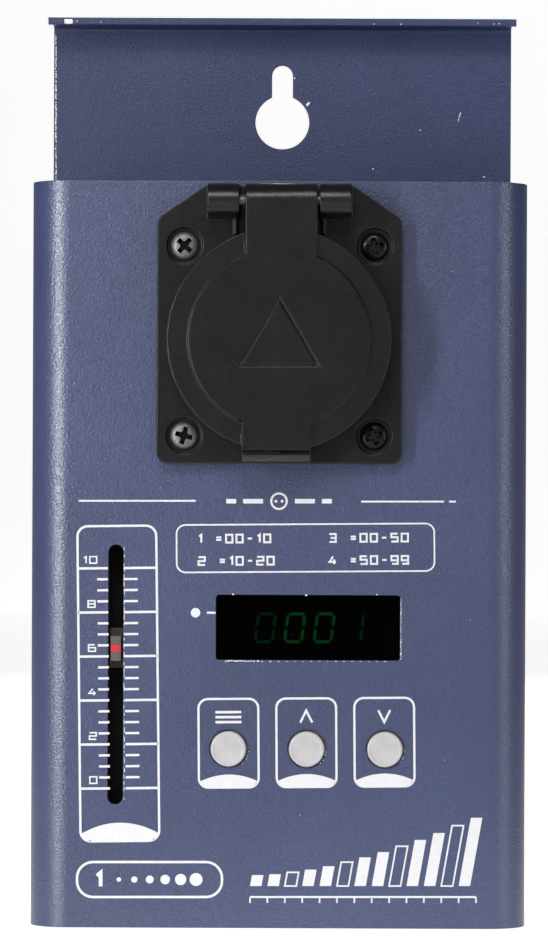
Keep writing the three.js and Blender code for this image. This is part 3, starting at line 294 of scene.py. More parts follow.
looks = {
    "coated_steel": coat("slate_blue_powder_coat", 1.0, 0.95),
    "black_plastic": surface(
        "black_moulded_plastic",
        linear(13, 13, 14),
        linear(19, 19, 20),
        drift=120,
        grain=2600,
        grain_share=0.5,
        rough=(0.28, 0.33),
        rough_scale=900,
        bumps=[(1900, 0.00003)],
        edge=0.0002,
        Specular_IOR_Level=0.4,
    ),
    "zinc_steel": flat_surface(
        "bright_zinc",
        linear(205, 205, 208),
        drift=500,
        rough=(0.22, 0.38),
        metallic=1.0,
        bumps=[(1500, 0.00001)],
        edge=0.0001,
    ),
    "spring_steel": flat_surface(
        "drawn_spring_steel", linear(200, 200, 200), drift=900, rough=(0.2, 0.32), metallic=1.0
    ),
    "dark_steel": flat_surface(
        "dark_zinc",
        linear(58, 58, 62),
        drift=500,
        rough=(0.28, 0.42),
        metallic=0.9,
        edge=0.0001,
    ),
    "latch_steel": flat_surface(
        "satin_latch_steel",
        linear(176, 178, 180),
        drift=300,
        rough=(0.3, 0.42),
        metallic=1.0,
        stretch=(1, 8, 1),
        edge=0.0002,
    ),
    "fader_steel": flat_surface(
        "dull_fader_steel",
        linear(26, 26, 28),
        drift=200,
        rough=(0.45, 0.6),
        metallic=0.8,
        edge=0.0002,
    ),
    "core_steel": flat_surface(
        "varnished_core",
        linear(58, 56, 58),
        drift=400,
        rough=(0.35, 0.5),
        metallic=0.5,
        stretch=(1, 30, 1),
        bumps=[(250, 0.00008)],
        edge=0.0002,
    ),
    "brass": flat_surface(
        "plain_brass", linear(214, 178, 98), drift=300, rough=(0.25, 0.4), metallic=1.0, edge=0.0001
    ),
    "sink_aluminium": flat_surface(
        "extruded_aluminium",
        linear(184, 186, 188),
        drift=200,
        rough=(0.35, 0.5),
        metallic=1.0,
        stretch=(12, 12, 1),
        edge=0.0001,
    ),
    "wound_copper": flat_surface(
        "enamelled_winding",
        linear(190, 108, 52),
        drift=500,
        rough=(0.3, 0.42),
        metallic=0.6,
        stretch=(1, 1, 0.1),
        bumps=[(700, 0.0002)],
    ),
    "connector_shell": surface(
        "connector_plastic",
        linear(34, 34, 36),
        linear(42, 42, 44),
        drift=150,
        grain=3000,
        rough=(0.42, 0.55),
        bumps=[(2800, 0.00003)],
        edge=0.0002,
    ),
    "seal_rubber": flat_surface(
        "matt_rubber",
        linear(36, 36, 37),
        drift=300,
        rough=(0.65, 0.8),
        bumps=[(2500, 0.00003)],
        edge=0.0002,
    ),
    "lever_plastic": flat_surface(
        "lever_plastic",
        linear(92, 84, 78),
        drift=400,
        rough=(0.4, 0.55),
        edge=0.0001,
    ),
    "red_plastic": flat_surface(
        "red_pointer_paint", linear(200, 44, 56), drift=900, rough=(0.35, 0.5), edge=0.0001
    ),
    "button_plastic": flat_surface(
        "pale_button_plastic",
        linear(188, 185, 187),
        drift=250,
        rough=(0.3, 0.4),
        bumps=[(3000, 0.00001)],
    ),
    "smoked_window": flat_surface(
        "smoked_window",
        linear(92, 98, 108),
        drift=80,
        rough=(0.03, 0.06),
        Transmission_Weight=1.0,
        IOR=1.1,
    ),
    "circuit_board": flat_surface(
        "solder_mask", linear(40, 104, 72), drift=600, rough=(0.3, 0.42), edge=0.0001
    ),
    "grey_plastic": flat_surface(
        "grey_moulding", linear(122, 124, 127), drift=200, rough=(0.45, 0.6), edge=0.0002
    ),
    "blue_plastic": flat_surface(
        "capacitor_plastic", linear(60, 104, 172), drift=200, rough=(0.35, 0.5), edge=0.0003
    ),
    "green_plastic": flat_surface(
        "terminal_plastic", linear(84, 136, 80), drift=200, rough=(0.4, 0.55), edge=0.0002
    ),
    "fuse_glass": flat_surface(
        "fuse_glass", linear(226, 232, 236), drift=80, rough=(0.02, 0.05), Transmission_Weight=0.9
    ),
    "brown_sleeve": flat_surface(
        "brown_insulation", linear(96, 62, 42), drift=300, rough=(0.4, 0.55)
    ),
    "blue_sleeve": flat_surface(
        "blue_insulation", linear(52, 84, 158), drift=300, rough=(0.4, 0.55)
    ),
    "green_sleeve": flat_surface(
        "green_insulation", linear(112, 148, 52), drift=300, rough=(0.4, 0.55)
    ),
}
# A darker copy of the coat for the back plate and the top end plate: painted shade on the plate,
# which stands back behind the lip and above the cover
shaded_chassis_coat = coat("shaded_powder_coat", 0.9, 0.5)
# A dimmer zinc for the front screw heads and the hinge pin; on the pin, which sits in a narrow gap at
# the hinge, the dimming is painted shade
dim_zinc = flat_surface(
    "dim_zinc",
    linear(122, 121, 120),
    drift=700,
    rough=(0.36, 0.56),
    rough_scale=1800,
    metallic=0.7,
    bumps=[(1500, 0.00008)],
    edge=0.0001,
)
# A darker copy of the head metal for the right-hand front screws: painted shade where the lid's
# shadow falls on them
dark_zinc = flat_surface(
    "shaded_zinc_head",
    linear(20, 20, 22),
    drift=700,
    rough=(0.22, 0.34),
    metallic=0.5,
    bumps=[(1500, 0.00001)],
    edge=0.0001,
)
# Near black for the faces of the cross recesses: painted shade in the hollows
recess_shade = flat_surface(
    "painted_recess_shade", linear(16, 16, 17), drift=900, rough=(0.12, 0.2), metallic=0.3
)
recess_bright = flat_surface(
    "worn_recess",
    linear(64, 64, 66),
    drift=900,
    rough=(0.12, 0.2),
    metallic=1.0,
    bumps=[(2600, 0.0001)],
)
print_white = surface(
    "white_screen_print",
    linear(213, 213, 215),
    linear(217, 217, 219),
    drift=700,
    grain=2600,
    grain_share=0.16,
    rough=(0.45, 0.6),
    bumps=[(2300, 0.00003)],
)
# Light grey to white for chipped coat, and for the flecks that paint highlights on lit edges
primer_and_highlight = surface(
    "bare_primer_and_painted_highlight",
    linear(190, 192, 198),
    linear(240, 240, 240),
    drift=900,
    rough=(0.4, 0.6),
    bumps=[(3000, 0.00004)],
)


def lit_digit(name, strength):
    made = flat_surface(name, linear(12, 44, 26), drift=200, rough=(0.4, 0.5))
    shader = made.node_tree.nodes["Principled BSDF"]
    shader.inputs["Emission Color"].default_value = linear(30, 150, 60)
    shader.inputs["Emission Strength"].default_value = strength
    return made


# CAD nodes keep their meshes. Modifiers make whole flats, small edge roundings in millimetres and
# even shading.

PLAIN = {"lid_spring", "live_wire", "neutral_wire", "earth_wire", "choke"}
EDGE = {"rear_chassis": 0.12, "front_cover": 0.12, "socket_body": 0.25, "socket_lid": 0.24}
EDGE_ELSEWHERE = 0.1
FLATTENED = {"socket_body", "rear_chassis"}
WELD_GAP = 1e-6
FLAT_WITHIN = math.radians(0.5)
EDGE_ABOVE = math.radians(37)
# The back plate and the top end plate take the darker coat, which paints shade on them
VARIANT = {"rear_chassis": shaded_chassis_coat, "top_end_plate": shaded_chassis_coat, "hinge_pin": dim_zinc}

for row in frame["record"]["subparts"]:
    node = nodes[row["node"]]
    node.data.materials.clear()
    node.data.materials.append(VARIANT.get(node.name, looks[row["material_slot"]]))
    smooth(node.data)
    weld = node.modifiers.new("weld", "WELD")
    weld.merge_threshold = WELD_GAP
    if node.name in FLATTENED:
        flats = node.modifiers.new("merge_flats", "DECIMATE")
        flats.decimate_type = "DISSOLVE"
        flats.angle_limit = FLAT_WITHIN
    if node.name not in PLAIN:
        bevel = node.modifiers.new("edge_rounding", "BEVEL")
        bevel.width = EDGE.get(node.name, EDGE_ELSEWHERE) * MM
        bevel.segments = 2
        bevel.limit_method = "ANGLE"
        bevel.angle_limit = EDGE_ABOVE
        bevel.use_clamp_overlap = False
        bevel.miter_outer = "MITER_ARC"
        weights = node.modifiers.new("weighted_normals", "WEIGHTED_NORMAL")
        weights.mode = "FACE_AREA"
        weights.keep_sharp = False


# Pieces made here

ON_AXIS = 1e-6
TURNED_SHARP, CARVED_SHARP = 40, 35


def lathe(name, profile, steps, sharp_above=TURNED_SHARP):
    """A closed mesh from (radius, height) points, from the axis to the axis, turned about Z."""
    bm = bmesh.new()
    rings = []
    for radius, height in profile:
        if radius < ON_AXIS:
            rings.append([bm.verts.new((0, 0, height * MM))])
            continue
        rings.append(
            [
                bm.verts.new(
                    (
                        radius * MM * math.cos(2 * math.pi * k / steps),
                        radius * MM * math.sin(2 * math.pi * k / steps),
                        height * MM,
                    )
                )
                for k in range(steps)
            ]
        )
    for low, high in zip(rings, rings[1:]):
        for k in range(steps):
            n = (k + 1) % steps
            around = low[k % len(low)], low[n % len(low)], high[n % len(high)], high[k % len(high)]
            corners = list(dict.fromkeys(around))
            if len(corners) > 2:
                bm.faces.new(corners)
    bmesh.ops.recalc_face_normals(bm, faces=bm.faces)
    return smooth(as_mesh(bm, name), sharp_above)


def carved(mesh, cutter):
    """mesh less cutter, both closed"""
    body, tool = put("carve_body", mesh), put("carve_tool", cutter)
    boolean = body.modifiers.new("carve", "BOOLEAN")
    boolean.object = tool
    boolean.operation = "DIFFERENCE"
    boolean.solver = "EXACT"
    result = bpy.data.meshes.new_from_object(
        body.evaluated_get(bpy.context.evaluated_depsgraph_get())
    )
    for made in (body, tool):
        bpy.data.objects.remove(made)
    result.name = mesh.name
    return smooth(result, CARVED_SHARP)


ARM_WIDTH = 1.1
ARM_FLOOR = 0.6
FLOOR_SHARE = 0.55
CUT_RISE = 0.4
PIT_STEPS = 24


def wedge(bm, length, width, low_length, low_width, depth):
    """One bar of a cross recess, from just above zero down to depth, narrower at its floor"""
    rims = []
    for (a, b), height in (((length, width), CUT_RISE), ((low_length, low_width), -depth)):
        rims.append(
            [
                bm.verts.new((u * a / 2 * MM, v * b / 2 * MM, height * MM))
                for u, v in ((-1, -1), (1, -1), (1, 1), (-1, 1))
            ]
        )
    top, low = rims
    bm.faces.new(top)
    bm.faces.new(low[::-1])
    for k in range(4):
        n = (k + 1) % 4
        bm.faces.new([top[k], low[k], low[n], top[n]])


def cross_recess(mesh, length, depth):
    """Cuts two crossing bars and a round pit at their middle"""
    floor = FLOOR_SHARE * length
    for sizes in (
        (length, ARM_WIDTH, floor, ARM_FLOOR),
        (ARM_WIDTH, length, ARM_FLOOR, floor),
    ):
        bm = bmesh.new()
        wedge(bm, *sizes, depth)
        bmesh.ops.recalc_face_normals(bm, faces=bm.faces)
        mesh = carved(mesh, as_mesh(bm, "recess"))
    pit = [
        (0, CUT_RISE),
        (0.23 * length, CUT_RISE),
        (0.21 * length, -0.2),
        (0.12 * length, -depth),
        (0, -depth),
    ]
    return carved(mesh, lathe("pit", pit, PIT_STEPS))


# Screws, one finer mesh for each kind, set in the places of the CAD ones. Profiles are (radius,
# height) points, and a cross is its length and depth, all in millimetres.

PAN = [
    (0, 0.0), (1.3, -0.03), (2.0, -0.15), (2.5, -0.42), (2.74, -0.75), (2.8, -1.1), (2.72, -1.36),
    (2.6, -1.4), (1.5, -1.4), (1.5, -8.0), (0, -8.0),
]
SUNK = [(0, 0.0), (2.45, 0.0), (2.65, -0.08), (2.72, -0.2), (1.45, -1.25), (1.45, -6.0), (0, -6.0)]
BLACK_PAN = [(0.93 * radius, height) for radius, height in PAN]
PAN_CROSS, SUNK_CROSS, BLACK_CROSS = (4.1, 1.2), (3.5, 1.0), (3.5, 1.1)
SCREW_STEPS = 48
RECESS_RADIUS, CROWN_FOOT, STEEP = 2, -0.35, 0.85
pan_screw = cross_recess(lathe("pan_screw", PAN, SCREW_STEPS), *PAN_CROSS)
sunk_screw = cross_recess(lathe("sunk_screw", SUNK, SCREW_STEPS), *SUNK_CROSS)
black_screw = cross_recess(lathe("black_screw", BLACK_PAN, SCREW_STEPS), *BLACK_CROSS)
# A copy of the pan screw whose head takes the darker metal, painted shade, for the screws in the
# lid's shadow
shaded_screw = pan_screw.copy()
# Each screw takes its head metal, and a second metal on the faces of its cross recess; the near-black
# recess metal is painted shade
for screw, head, recess in (
    (pan_screw, dim_zinc, recess_shade),
    (shaded_screw, dark_zinc, recess_bright),
    (sunk_screw, looks["zinc_steel"], recess_shade),
    (black_screw, looks["dark_steel"], recess_shade),
):
    screw.materials.append(head)
    screw.materials.append(recess)
    for polygon in screw.polygons:
        middle = polygon.center / MM
        inside = middle.z < CROWN_FOOT or abs(polygon.normal.z) < STEEP
        if middle.xy.length < RECESS_RADIUS and inside:
            polygon.material_index = 1


def place_screw(node_name, mesh, axis, turn):
    """Sets a screw with its head to the front, down, left or right, turned by some degrees"""
    low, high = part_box(node_name)
    middle = (low + high) / 2
    spin = Matrix.Rotation(math.radians(turn), 4, "Z")
    if axis == "front":
        at = Vector((middle.x, low.y, middle.z))
        face = Matrix.Rotation(math.pi / 2, 4, "X")
    elif axis == "down":
        at = Vector((middle.x, middle.y, low.z))
        face = Matrix.Rotation(math.pi, 4, "X")
    else:
        side = 1 if axis == "right" else -1
        at = Vector((high.x if side > 0 else low.x, middle.y, middle.z))
        face = Matrix.Rotation(side * math.pi / 2, 4, "Y")
    made = put(node_name + "_turned", mesh)
    made.matrix_world = Matrix.Translation(at) @ face @ spin
    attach(made, "case")
    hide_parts(node_name)


# The right-hand pair takes the darker head, which paints the lid's shadow on it
# The mesh, and the turns of the upper and of the lower screw in degrees
LEFT_SCREWS = (pan_screw, 48, -15)
RIGHT_SCREWS = (shaded_screw, 12, 24)
COVER_SCREWS = (("left", 20), ("right", 55), ("left", 70), ("right", 35))
CONNECTOR_TURNS = (15, 50, 80, 33)
UPPER_ROW = 120 * MM
for k in range(1, 5):
    low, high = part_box(f"socket_screw_{k}")
    mesh, upper_turn, lower_turn = LEFT_SCREWS if high.x < 0 else RIGHT_SCREWS
    turn = upper_turn if low.z > UPPER_ROW else lower_turn
    place_screw(f"socket_screw_{k}", mesh, "front", turn)
for k, (side, turn) in enumerate(COVER_SCREWS, 1):
    place_screw(f"cover_screw_{k}", sunk_screw, side, turn)
for k, turn in enumerate(CONNECTOR_TURNS, 1):
    place_screw(f"connector_screw_{k}", black_screw, "down", turn)


# Buttons: a turned cap with a soft rim and a slightly dished face

button_low, button_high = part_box("button_up")
cap_length = (button_high.y - button_low.y) / MM
CAP = [
    (0, -0.1), (2.7, -0.08), (2.95, -0.05), (3.05, 0.0), (3.2, 0.0), (3.38, -0.06), (3.5, -0.2),
    (3.55, -0.4), (3.55, -2.5), (4.45, -2.5), (4.45, -3.3), (1.6, -3.3), (1.6, -cap_length),
    (0, -cap_length),
]
CAP_STEPS, CAP_SHARP = 72, 50
cap_mesh = lathe("button_cap", CAP, CAP_STEPS, CAP_SHARP)
cap_mesh.materials.append(looks["button_plastic"])
for name in ("menu", "up", "down"):
    low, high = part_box("button_" + name)
    made = put("cap_" + name, cap_mesh)
    made.matrix_world = Matrix.Translation(
        ((low.x + high.x) / 2, low.y, (low.z + high.z) / 2)
    ) @ Matrix.Rotation(math.pi / 2, 4, "X")
    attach(made, name + "_button")
    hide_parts("button_" + name)


# Lid spring: the same helix as its CAD form, in round wire

TURNS, PER_TURN = 5.5, 16
PITCH, COIL, WIRE = 1.4 * MM, 1.75 * MM, 0.3 * MM
COIL_MIDDLE = 0.4 * MM
HOOK, LEG, FOOT_DROP = 0.9 * MM, 5 * MM, 0.6 * MM
FOOT_Y = -22.95 * MM


def spring_curve():
    low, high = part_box("hinge_pin")
    centre = (low + high) / 2
    start = COIL_MIDDLE - TURNS * PITCH / 2

    def at(x, angle):
        return Vector((x, centre.y + COIL * math.sin(angle), centre.z - COIL * math.cos(angle)))

    points = [at(start, -math.pi / 2) + Vector((0, 0, -HOOK))]
    for i in range(int(TURNS * PER_TURN) + 1):
        turn = i / PER_TURN
        points.append(at(start + turn * PITCH, -math.pi / 2 - 2 * math.pi * turn))
    foot = points[-1] + Vector((0, 0, -LEG))
    points.append(foot)
    points.append(Vector((foot.x, FOOT_Y, foot.z - FOOT_DROP)))
    curve = bpy.data.curves.new("lid_spring_wire", "CURVE")
    curve.dimensions = "3D"
    curve.bevel_depth = WIRE
    curve.bevel_resolution = 3
    curve.use_fill_caps = True
    spline = curve.splines.new("POLY")
    spline.points.add(len(points) - 1)
    for point, p in zip(spline.points, points):
        point.co = (*p, 1)
    curve.materials.append(looks["spring_steel"])
    made = put("lid_spring_wire", curve)
    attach(made, "case")
    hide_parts("lid_spring")


spring_curve()


# Screen print and marks: flat shapes in X and Z, in millimetres, raised a little from a surface

LEAST_CORNER = 0.05
LEAST_MITRE = 0.35
RAISE, SINK = 0.03, 0.02
FLECK_RAISE = 0.02
LAYERS, LAYER_STEP = 8, 0.002


class Flat:
    def __init__(self):
        self.loops = []

    def shape(self, points):
        self.loops.append(list(points))

    def band(self, outer, inner):
        count = len(outer)
        for k in range(count):
            n = (k + 1) % count
            self.shape([outer[k], outer[n], inner[n], inner[k]])

    def frame(self, x0, x1, z0, z1, radius, width):
        h = width / 2
        outer = rounded(x0 - h, x1 + h, z0 - h, z1 + h, radius + h)
        inner = rounded(x0 + h, x1 - h, z0 + h, z1 - h, max(radius - h, LEAST_CORNER))
        self.band(outer, inner)

    def bar(self, x0, x1, z, width):
        h = width / 2
        self.shape([(x0, z - h), (x1, z - h), (x1, z + h), (x0, z + h)])

    def stroke(self, points, width, closed=False):
        points = [Vector(p) for p in points]
        count = len(points)
        sides = []
        for k, p in enumerate(points):
            before = points[k - 1] if closed or k else None
            after = points[(k + 1) % count] if closed or k < count - 1 else None
            a = (p - before).normalized() if before is not None else None
            b = (after - p).normalized() if after is not None else None
            a, b = a or b, b or a
            normal = Vector((-(a + b).y, (a + b).x)).normalized()
            reach = width / 2 / max(LEAST_MITRE, normal.dot(Vector((-a.y, a.x))))
            sides.append((p + normal * reach, p - normal * reach))
        for k in range(count if closed else count - 1):
            (l0, r0), (l1, r1) = sides[k], sides[(k + 1) % count]
            self.shape([l0, l1, r1, r0])

    def disc(self, x, z, radius, steps=32):
        self.shape([ring_point(x, z, radius, k, steps) for k in range(steps)])

    def ring(self, x, z, radius, width, steps=48):
        outer = [ring_point(x, z, radius + width / 2, k, steps) for k in range(steps)]
        inner = [ring_point(x, z, radius - width / 2, k, steps) for k in range(steps)]
        self.band(outer, inner)

    def swing(self, angle, x0, z0):
        """Turns the shapes about a point"""
        c, s = math.cos(angle), math.sin(angle)
        self.loops = [
            [
                (x0 + c * (x - x0) - s * (z - z0), z0 + s * (x - x0) + c * (z - z0))
                for x, z in loop
            ]
            for loop in self.loops
        ]

    def make(self, name, material, base_y, raise_mm=RAISE, rolled=True):
        """Raises the shapes from base_y. Shapes in the picture's upright frame are rolled into
        the case's."""
        bm = bmesh.new()
        if rolled:
            self.swing(-ROLL, CAMERA_AT.x / MM, CAMERA_AT.z / MM)
        low = base_y + SINK * MM
        for order, loop in enumerate(self.loops):
            top = base_y - (raise_mm + LAYER_STEP * (order % LAYERS)) * MM
            area = sum(a[0] * b[1] - b[0] * a[1] for a, b in zip(loop, loop[1:] + loop[:1]))
            if area < 0:
                loop = loop[::-1]
            front = [bm.verts.new((x * MM, top, z * MM)) for x, z in loop]
            back = [bm.verts.new((x * MM, low, z * MM)) for x, z in loop]
            bm.faces.new(front)
            bm.faces.new(back[::-1])
            for k in range(len(loop)):
                n = (k + 1) % len(loop)
                bm.faces.new([front[k], back[k], back[n], front[n]])
        mesh = as_mesh(bm, name)
        mesh.materials.append(material)
        made = put(name, mesh)
        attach(made, "case")
        return made


def ring_point(x, z, radius, k, steps):
    angle = 2 * math.pi * k / steps
    return (x + radius * math.cos(angle), z + radius * math.sin(angle))


def rounded(x0, x1, z0, z1, radius, steps=8):
    points = []
    for cx, cz, start in (
        (x1 - radius, z0 + radius, -90),
        (x1 - radius, z1 - radius, 0),
        (x0 + radius, z1 - radius, 90),
        (x0 + radius, z0 + radius, 180),
    ):
        for k in range(steps + 1):
            angle = math.radians(start + 90 * k / steps)
            points.append((cx + radius * math.cos(angle), cz + radius * math.sin(angle)))
    return points


def on_face(px, py, base_y=FACE_Y):
    """Where a pixel of the photograph falls on a plane, in millimetres, before the roll"""
    scale = FOCAL_PX / ((base_y - CAMERA_AT.y) / MM)
    return (
        CAMERA_AT.x / MM + (px - PRINCIPAL[0]) / scale,
        CAMERA_AT.z / MM + (PRINCIPAL[1] - py) / scale,
    )


# Wide square numerals, each a set of strokes in a box one wide and one high. A one is narrower.
NARROW = 0.6
NUMERALS = {
    "0": [([(0, 0), (1, 0), (1, 1), (0, 1)], True)],
    "1": [([(0.1, 0.78), (0.45, 1), (0.45, 0)], False)],
    "2": [([(0, 1), (1, 1), (1, 0.5), (0, 0.5), (0, 0), (1, 0)], False)],
    "3": [([(0, 1), (1, 1), (1, 0), (0, 0)], False), ([(0.2, 0.5), (1, 0.5)], False)],
    "4": [([(0.55, 1), (0, 0.3), (1, 0.3)], False), ([(0.72, 0.62), (0.72, 0)], False)],
    "5": [([(1, 1), (0, 1), (0, 0.55), (1, 0.55), (1, 0), (0, 0)], False)],
    "6": [([(0.9, 1), (0, 1), (0, 0), (1, 0), (1, 0.55), (0, 0.55)], False)],
    "8": [([(0, 0), (1, 0), (1, 1), (0, 1)], True), ([(0, 0.52), (1, 0.52)], False)],
    "9": [([(0.1, 0), (1, 0), (1, 1), (0, 1), (0, 0.45), (1, 0.45)], False)],
    "-": [([(0.15, 0.5), (0.85, 0.5)], False)],
    "=": [([(0.1, 0.34), (0.9, 0.34)], False), ([(0.1, 0.66), (0.9, 0.66)], False)],
}


def write(flat, text, x, z, wide, high, stroke, gap):
    """Numerals from x on, with their feet at z"""
    for character in text:
        if character == " ":
            x += wide + gap
            continue
        for points, closed in NUMERALS[character]:
            h = stroke / 2
            placed = [
                (x + h + u * (wide - stroke), z + h + v * (high - stroke)) for u, v in points
            ]
            flat.stroke(placed, stroke, closed)
        x += (NARROW if character == "1" else 1) * wide + gap


END_STEPS, BOW_STEPS = 8, 20


def lens(x0, x1, z0, radius, side_z, top_z):
    """A frame's filled foot: round lower corners and a bowed upper edge"""
    points = []
    dip = math.degrees(math.asin((z0 + radius - side_z) / radius))
    for cx, start, end in ((x0 + radius, 180 + dip, 270), (x1 - radius, 270, 360 - dip)):
        for k in range(END_STEPS + 1):
            angle = math.radians(start + (end - start) * k / END_STEPS)
            points.append((cx + radius * math.cos(angle), z0 + radius + radius * math.sin(angle)))
    half = points[-1][0] - (x0 + x1) / 2
    for k in range(1, BOW_STEPS):
        t = 1 - 2 * k / BOW_STEPS
        x = (x0 + x1) / 2 + t * half
        points.append((x, side_z + (top_z - side_z) * (1 - t * t)))
    return points


# The prints lie where the photograph's pixels put them, given here to on_face. Their line widths,
# corners and heights are in millimetres, and a tilt is a small turn about one pixel's place.

# Fader scale
LONG_TICKS = (568.1, 612.2, 656.2, 700.2, 744.2, 788.3)
SCALE_LINE, LONG_WIDTH, SHORT_WIDTH = 0.46, 0.48, 0.46
SCALE_CORNER, SCALE_TILT = 2.1, 0.0100
SCALE_TEXT = {"wide": 1.66, "high": 1.6, "stroke": 0.29, "gap": 0.36}
TEXT_LIFT = 0.9
SCALE_FOOT = (1.5, 3.7)

scale = Flat()
left, top_z = on_face(78.95, 525.9)
right_x, low_z = on_face(157.75, 841.1)
slot_left, slot_right = on_face(109, 0)[0], on_face(124.8, 0)[0]
tick_left, tick_right = on_face(98.2, 0)[0], on_face(138.7, 0)[0]
scale.frame(left, right_x, low_z, top_z, SCALE_CORNER, SCALE_LINE)
long_lines = [on_face(0, py)[1] for py in LONG_TICKS]
for k, z in enumerate(long_lines):
    scale.bar(left, slot_left, z, LONG_WIDTH)
    scale.bar(slot_right, right_x, z, LONG_WIDTH)
    if k < len(long_lines) - 1:
        step = (z - long_lines[k + 1]) / 4
        for n in (1, 2, 3):
            scale.bar(tick_left, slot_left, z - n * step, SHORT_WIDTH)
            scale.bar(slot_right, tick_right, z - n * step, SHORT_WIDTH)
    number = str(10 - 2 * k)
    start = on_face(83.6 if number == "10" else 88.2, 0)[0]
    write(scale, number, start, z + TEXT_LIFT, **SCALE_TEXT)
side_z, bow_z = (low_z + rise for rise in SCALE_FOOT)
scale.shape(lens(left, right_x, low_z, SCALE_CORNER, side_z, bow_z))
scale.swing(SCALE_TILT, *on_face(118, 684))
scale.make("fader_scale_print", print_white, FACE_Y)

# Button frames with their signs: three bars, a rising and a falling chevron
FRAME_HALF, FRAME_CORNER, FRAME_LINE, FRAME_TILT = 6.0, 1.9, 0.44, 0.0065
FRAME_FOOT = (1.2, 2.6)
BAR_HALF, BAR_PITCH, BAR_WIDTH = 2.6, 1.0, 0.5
CHEVRON = 1.2

frames = Flat()
z0, z1 = on_face(0, 787.0)[1], on_face(0, 698.4)[1]
side_z, bow_z = (z0 + rise for rise in FRAME_FOOT)
for k, px in enumerate((228.56, 306.4, 384.4)):
    x, z = on_face(px, 716.6)
    x0, x1 = x - FRAME_HALF, x + FRAME_HALF
    frames.frame(x0, x1, z0, z1, FRAME_CORNER, FRAME_LINE)
    frames.shape(lens(x0, x1, z0, FRAME_CORNER, side_z, bow_z))
    if k == 0:
        for n in (-1, 0, 1):
            frames.bar(x - BAR_HALF, x + BAR_HALF, z + n * BAR_PITCH, BAR_WIDTH)
    else:
        tip = CHEVRON if k == 1 else -CHEVRON
        sign = [(x - CHEVRON, z - tip), (x, z + tip), (x + CHEVRON, z - tip)]
        frames.stroke(sign, FRAME_LINE)
frames.swing(FRAME_TILT, *on_face(306.4, 743))
frames.make("button_frame_print", print_white, FACE_Y)

# Lines at either side of a small outlet sign
LINE_WIDTH, LINE_SHIFT = 0.36, 0.08
SIGN_RADIUS, SIGN_LINE, HOLE_AT, HOLE_RADIUS = 1.55, 0.42, 0.62, 0.3
DASHES, DASH_WIDTH = ((5.2, 2), (9.6, 1)), 0.9

lines = Flat()
_, z = on_face(0, 501.2)
for from_px, to_px, shift in (
    (78.9, 195.7, LINE_SHIFT), (361.2, 444, -LINE_SHIFT), (449, 456, -LINE_SHIFT)
):
    lines.bar(on_face(from_px, 0)[0], on_face(to_px, 0)[0], z + shift, LINE_WIDTH)
sign_x = on_face(279, 0)[0]
lines.ring(sign_x, z, SIGN_RADIUS, SIGN_LINE)
for side in (-1, 1):
    lines.disc(sign_x + side * HOLE_AT, z, HOLE_RADIUS)
    for away, half in DASHES:
        lines.bar(sign_x + side * away - half, sign_x + side * away + half, z, DASH_WIDTH)
lines.make("outlet_line_print", print_white, FACE_Y)

# Legend box with plain number rows
LEGEND_CORNER, LEGEND_LINE, LEGEND_TILT = 1.8, 0.32, 0.0060
LEGEND_TEXT = {"wide": 1.65, "high": 1.95, "stroke": 0.38, "gap": 0.42}
LEGEND_COLUMNS = (4.2, 30.5)

legend = Flat()
x0, z1 = on_face(176.6, 524.2)
x1, z0 = on_face(434.4, 571.7)
legend.frame(x0, x1, z0, z1, LEGEND_CORNER, LEGEND_LINE)
for row, entries in enumerate((("1 =00-10", "3 =00-50"), ("2 =10-20", "4 =50-99"))):
    z = on_face(0, 543 + 22.3 * row)[1]
    for entry, inset in zip(entries, LEGEND_COLUMNS):
        write(legend, entry, x0 + inset, z, **LEGEND_TEXT)
legend.swing(LEGEND_TILT, *on_face(305, 548))
legend.make("legend_print", print_white, FACE_Y)

# Display mark
MARK_WIDTH, MARK_DOT, MARK_DOT_AT = 0.42, 0.95, -2.3

mark = Flat()
x, z = on_face(207, 612.7)
mark.bar(x, on_face(215.6, 0)[0], z, MARK_WIDTH)
mark.disc(x + MARK_DOT_AT, z, MARK_DOT)
mark.make("display_mark_print", print_white, FACE_Y)

# Channel badge: an outlined capsule with a plain number and rising dots
BADGE_LINE, BADGE_EASE = 0.5, 0.3
BADGE_TEXT = {"wide": 2.9, "high": 3.5, "stroke": 0.75, "gap": 0}
BADGE_TEXT_AT, DOTS, DOTS_AT, DOT_PITCH = 3.4, 6, 8.4, 3.1
DOT_LEAST, DOT_GROWTH = 0.45, 0.17

badge = Flat()
x0, z1 = on_face(77, 862)
x1, z0 = on_face(222, 897)
middle_z = (z0 + z1) / 2
badge.frame(x0, x1, z0, z1, (z1 - z0) / 2 - BADGE_EASE, BADGE_LINE)
write(badge, "1", x0 + BADGE_TEXT_AT, middle_z - BADGE_TEXT["high"] / 2, **BADGE_TEXT)
for k in range(DOTS):
    badge.disc(x0 + DOTS_AT + DOT_PITCH * k, middle_z, DOT_LEAST + DOT_GROWTH * k)
badge.make("channel_badge_print", print_white, FACE_Y)

# Level bars rising to the right over a base line with its ticks
LEVELS, LEVEL_WIDTH, LEVEL_LEAN = 13, 2.3, 0.18
LEVEL_LEAST, LEVEL_GROWTH, LEVEL_POWER = 2.2, 11.5, 1.7
LEVEL_LINE, BASE_WIDTH = 0.32, 0.4
TICK_HALF, TICK_TOP, TICK_FOOT = 0.16, 2.3, 3.4

